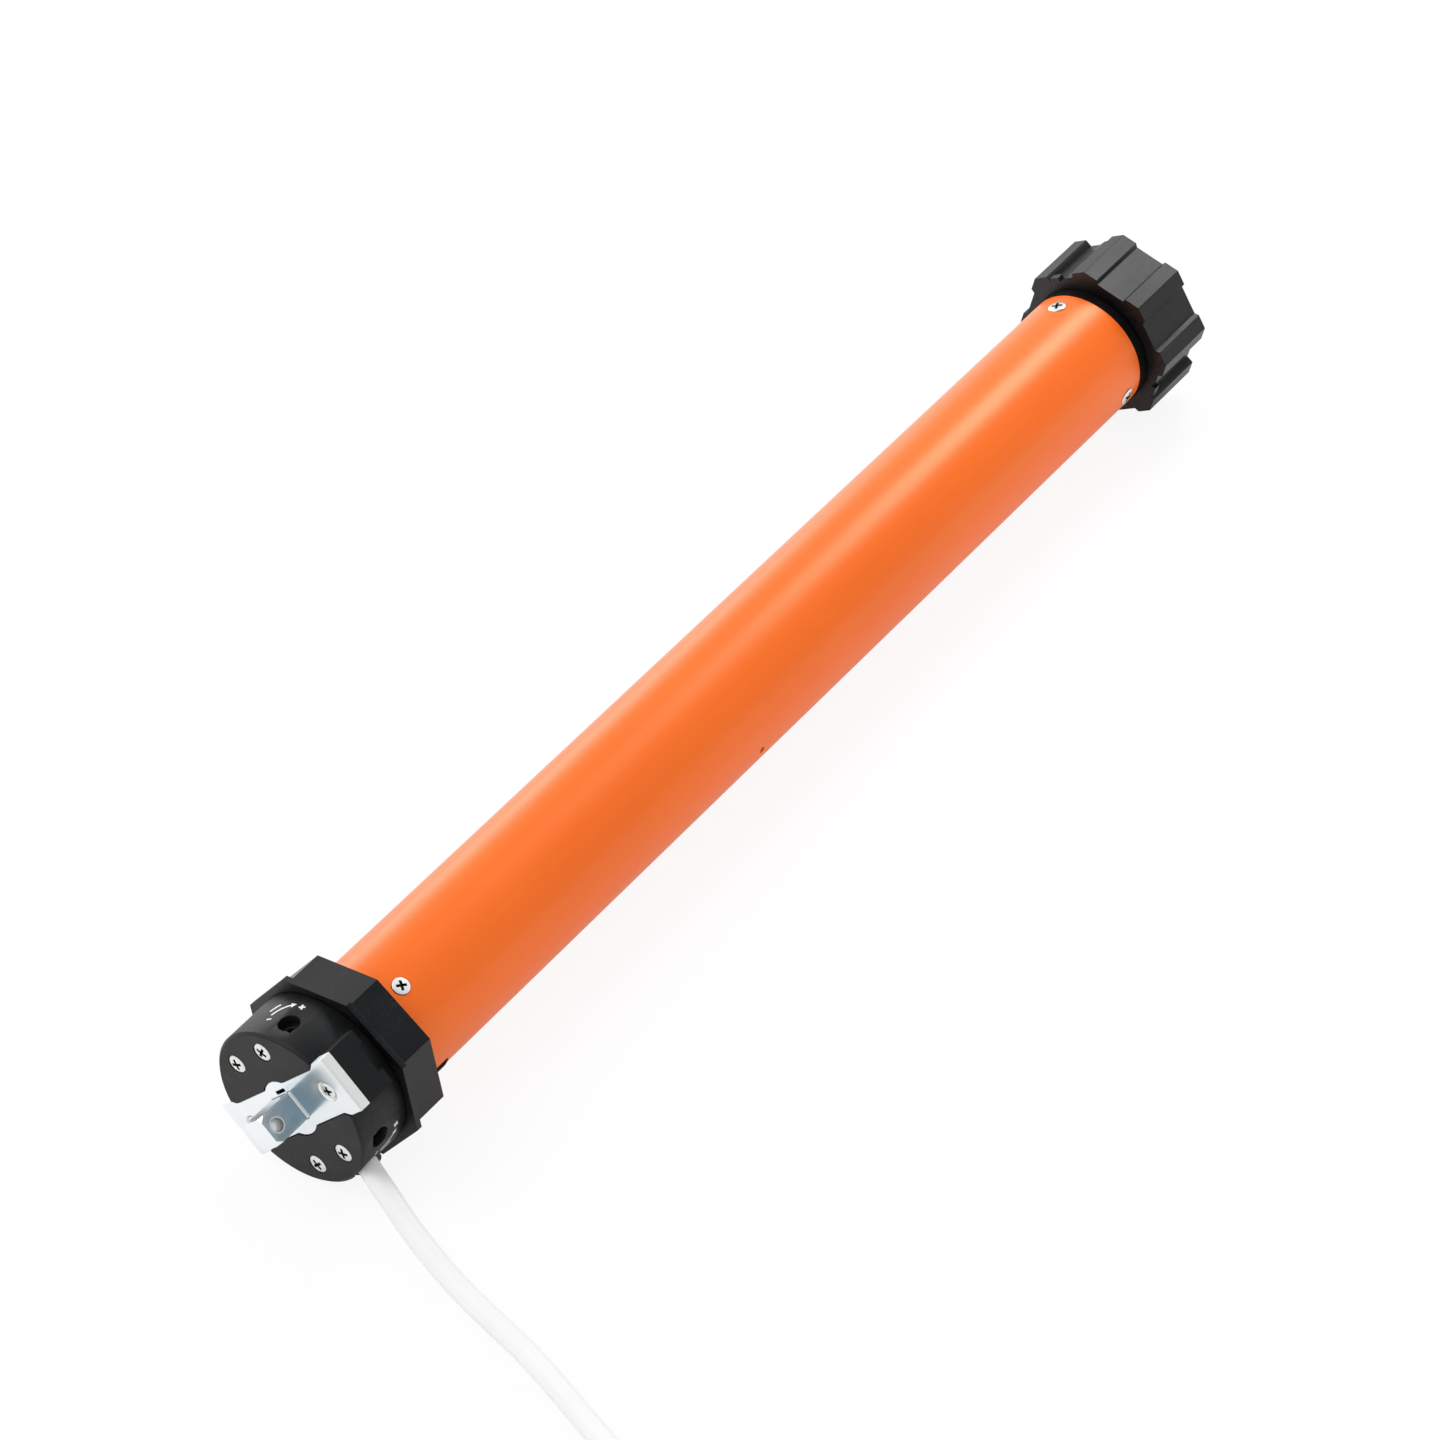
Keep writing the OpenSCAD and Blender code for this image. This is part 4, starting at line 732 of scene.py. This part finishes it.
def cable_tie(place):
    """One tie where the coil has made this part of a turn, drawn with X away from the coil's middle."""
    passes = [coil_point(place + k) - coil_centre for k in range(int(coil_total - place) + 1)]
    reach = [math.hypot(point.x, point.y) for point in passes]
    low = min(reach) - cord_d / 2 - tie_room - tie_t
    high = max(reach) + cord_d / 2 + tie_room + tie_t
    top = max(coil_centre.z + point.z for point in passes) + cord_d / 2 + tie_room + tie_t
    tie = bmesh.new()
    corners = [tie.verts.new((x, -tie_w / 2, z))
               for x, z in ((low, floor_z), (high, floor_z), (high, top), (low, top))]
    tie.faces.new(corners)
    bmesh.ops.bevel(tie, geom=corners, offset=tie_bend, offset_type="OFFSET", segments=6, profile=0.5,
                    affect="VERTICES", material=-1)
    hole = list(tie.faces)
    bmesh.ops.inset_region(tie, faces=hole, thickness=tie_t, use_boundary=True, use_even_offset=True)
    bmesh.ops.delete(tie, geom=hole, context="FACES")
    strap = bmesh.ops.extrude_face_region(tie, geom=list(tie.faces))["geom"]
    far_side = [item for item in strap if isinstance(item, bmesh.types.BMVert)]
    bmesh.ops.translate(tie, vec=(0, tie_w, 0), verts=far_side)
    middle = (low + high) / 2
    lock_place = (middle, 0, top + lock_h / 2 - lock_sunk)
    rounded_block(tie, (lock_size, lock_size, lock_h), lock_place, lock_round)
    tail_place = (middle + tail_out, 0, top + tail_up)
    rounded_block(tie, (tail_len, tail_w, tie_t), tail_place, tail_round, tail_tilt)
    bmesh.ops.recalc_face_normals(tie, faces=tie.faces)
    stand = Matrix.Translation((coil_centre.x, coil_centre.y, 0))
    turn = Matrix.Rotation(coil_turned - 2 * math.pi * place, 4, "Z")
    bmesh.ops.transform(tie, matrix=stand @ turn, verts=tie.verts)
    return tie


def joined(name, shapes, finishes, node):
    """One piece on the frame from several shapes, in place of one of its solids."""
    group = bmesh.new()
    for shape in shapes:
        part = bpy.data.meshes.new("part")
        shape.to_mesh(part)
        shape.free()
        group.from_mesh(part)
    piece = finished(name, group, *finishes, sharp=40)
    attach(piece, "frame")
    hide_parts(node)
    return piece


tie_places = (0.3, 0.6, 0.9)
ties = joined("cord_ties_detailed", [cable_tie(place) for place in tie_places], [nylon], "cord_ties")


# Wire ends
# Four insulated copper wires come out of the end of the cord, stripped at their tips: blue,
# brown, black, and a yellow green for earth.

wire_r = 0.00105
strip_r = 0.0007
sleeve_len = 0.016
wire_len = 0.024
wire_spread = 0.0015
blue_wire = inner_finish("blue insulation", (0.02, 0.1, 0.42, 1), (0.03, 0.13, 0.5, 1), 0.35, 0.0, 0.004)
brown_wire = inner_finish("brown insulation", (0.12, 0.05, 0.02, 1), (0.16, 0.06, 0.03, 1), 0.35, 0.0, 0.004)
black_wire = inner_finish("black insulation", (0.01, 0.01, 0.01, 1), (0.02, 0.02, 0.02, 1), 0.35, 0.0, 0.004)
earth_wire = inner_finish("earth insulation", (0.5, 0.5, 0.03, 1), (0.6, 0.58, 0.04, 1), 0.35, 0.0, 0.004)
insulation = [blue_wire, brown_wire, black_wire, earth_wire]


def wire_end(number):
    """One wire along the cord's own end, its bare tip in the last finish of the piece."""
    wire = turned([(0, 0), (wire_r, 0), (wire_r, sleeve_len), (strip_r, sleeve_len), (strip_r, wire_len),
                   (0, wire_len)], 16)
    for face in wire.faces:
        bare = face.calc_center_median().z > sleeve_len - same_place
        face.material_index = len(insulation) if bare else number
    quarter = math.radians(45 + 90 * number)
    off_middle = Matrix.Translation((wire_spread * math.cos(quarter), wire_spread * math.sin(quarter), 0))
    along_cord = (tail - coil[-1]).to_track_quat("Z", "Y").to_matrix().to_4x4()
    bmesh.ops.transform(wire, matrix=Matrix.Translation(tail) @ along_cord @ off_middle, verts=wire.verts)
    return wire


wires = joined("cord_cores_detailed", [wire_end(number) for number in range(len(insulation))],
               insulation + [copper], "cord_cores")


# Studio
# A white floor under the motor and a white room that gloss shows darker on the camera's side
# and overhead. A strip lamp beyond the drive end, two lamps on the far side of the tube, and
# the camera of the photo.

floor_half = 6
sheet = bmesh.new()
bmesh.ops.create_grid(sheet, x_segments=1, y_segments=1, size=floor_half)
bmesh.ops.translate(sheet, verts=sheet.verts, vec=(0, 0, floor_z))
floor = finished("floor", sheet)
paper = Finish("white paper floor", base_color=(0.9, 0.9, 0.9, 1), roughness=0.9)
seen = paper.node("ShaderNodeLightPath", output="Is Camera Ray")
mirrored = paper.node("ShaderNodeLightPath", output="Is Glossy Ray")
through = paper.node("ShaderNodeLightPath", output="Is Transmission Ray")
glow = paper.node("ShaderNodeEmission", None, {"Color": (1, 1, 1, 1), "Strength": 1.0})
lit = Field(paper, paper.shader.outputs[0])
white_share = 0.9 * seen + 0.35 * mirrored + 0.35 * through
faced = paper.node("ShaderNodeMixShader", None, {0: white_share, 1: lit, 2: glow})
paper.tree.links.new(faced.socket, paper.tree.nodes["Material Output"].inputs["Surface"])
floor.data.materials.append(paper.material)


class Room(Finish):
    """The white room: its shader is the world's background."""

    def __init__(self, name):
        self.material = bpy.data.worlds.new(name)
        self.material.use_nodes = True
        self.tree = self.material.node_tree
        self.shader = self.tree.nodes["Background"]


white_room = Room("white room")
bpy.context.scene.world = white_room.material
look = white_room.node("ShaderNodeTexCoord", output="Generated")


def facing(way, low, high):
    """1 where the room lies in this direction, 0 away from it."""
    towards = white_room.node("ShaderNodeVectorMath", {"operation": "DOT_PRODUCT"},
                              {0: look, 1: tuple(Vector(way).normalized())}, output="Value")
    return white_room.between(towards, low, high)


seen_by_eye = white_room.node("ShaderNodeLightPath", output="Is Camera Ray")
seen_in_gloss = white_room.node("ShaderNodeLightPath", output="Is Glossy Ray")
seen_through = white_room.node("ShaderNodeLightPath", output="Is Transmission Ray")
camera_side = facing((-0.3, -0.85, 0.42), 0.3, 0.55)
ceiling = facing((0.575, -0.1, 0.81), 0.78, 0.93)
darkest = white_room.node("ShaderNodeMath", {"operation": "MAXIMUM"}, {0: camera_side, 1: 1.2 * ceiling})
shadow_side = darkest * (seen_in_gloss + seen_through)
ambient = 0.8
white_room.feed("Color", white_room.mixed(shadow_side, (1, 1, 1, 1), (0.27, 0.33, 0.37, 1)))
white_room.feed("Strength", ambient + (1 - ambient) * (seen_by_eye + seen_in_gloss + seen_through))


def soft_lamp(name, place, target, size, power):
    """A rectangular panel lamp, aimed at a target."""
    lamp = bpy.data.lights.new(name, "AREA")
    lamp.shape = "RECTANGLE"
    lamp.size, lamp.size_y = size
    lamp.energy = power
    holder = bpy.data.objects.new(name, lamp)
    holder.location = place
    holder.rotation_euler = (Vector(target) - Vector(place)).to_track_quat("-Z", "Y").to_euler()
    bpy.context.scene.collection.objects.link(holder)


strip_x = 1.02
soft_lamp("strip lamp", (strip_x, 0.07, 0.6), (strip_x, 0, 0), (0.62, 0.29), 5)
soft_lamp("back lamp", (0.62, 1.1, 0.34), (0.62, 0, 0), (1.05, 0.5), 4)
soft_lamp("side lamp", (-0.35, 0.45, 1.0), (0.2, 0, 0), (0.6, 0.6), 4)

photo_pixels = 1440
focal_pixels = 5220.5
eye = bpy.data.cameras.new("photo camera")
eye.sensor_width = 36
eye.lens = focal_pixels / photo_pixels * eye.sensor_width
camera = bpy.data.objects.new("photo camera", eye)
stand_point = (-0.7512, -0.9032, 1.0268)
right = Vector((0.59126, -0.79396, -0.1416))
lower = Vector((-0.56541, -0.28288, -0.77479))
ahead = Vector((0.57509, 0.53816, -0.61616))
aim = Matrix((right, -lower, -ahead)).transposed()
camera.matrix_world = Matrix.Translation(stand_point) @ aim.to_4x4()
bpy.context.scene.collection.objects.link(camera)
bpy.context.scene.camera = camera
bpy.context.scene.view_settings.view_transform = "Standard"
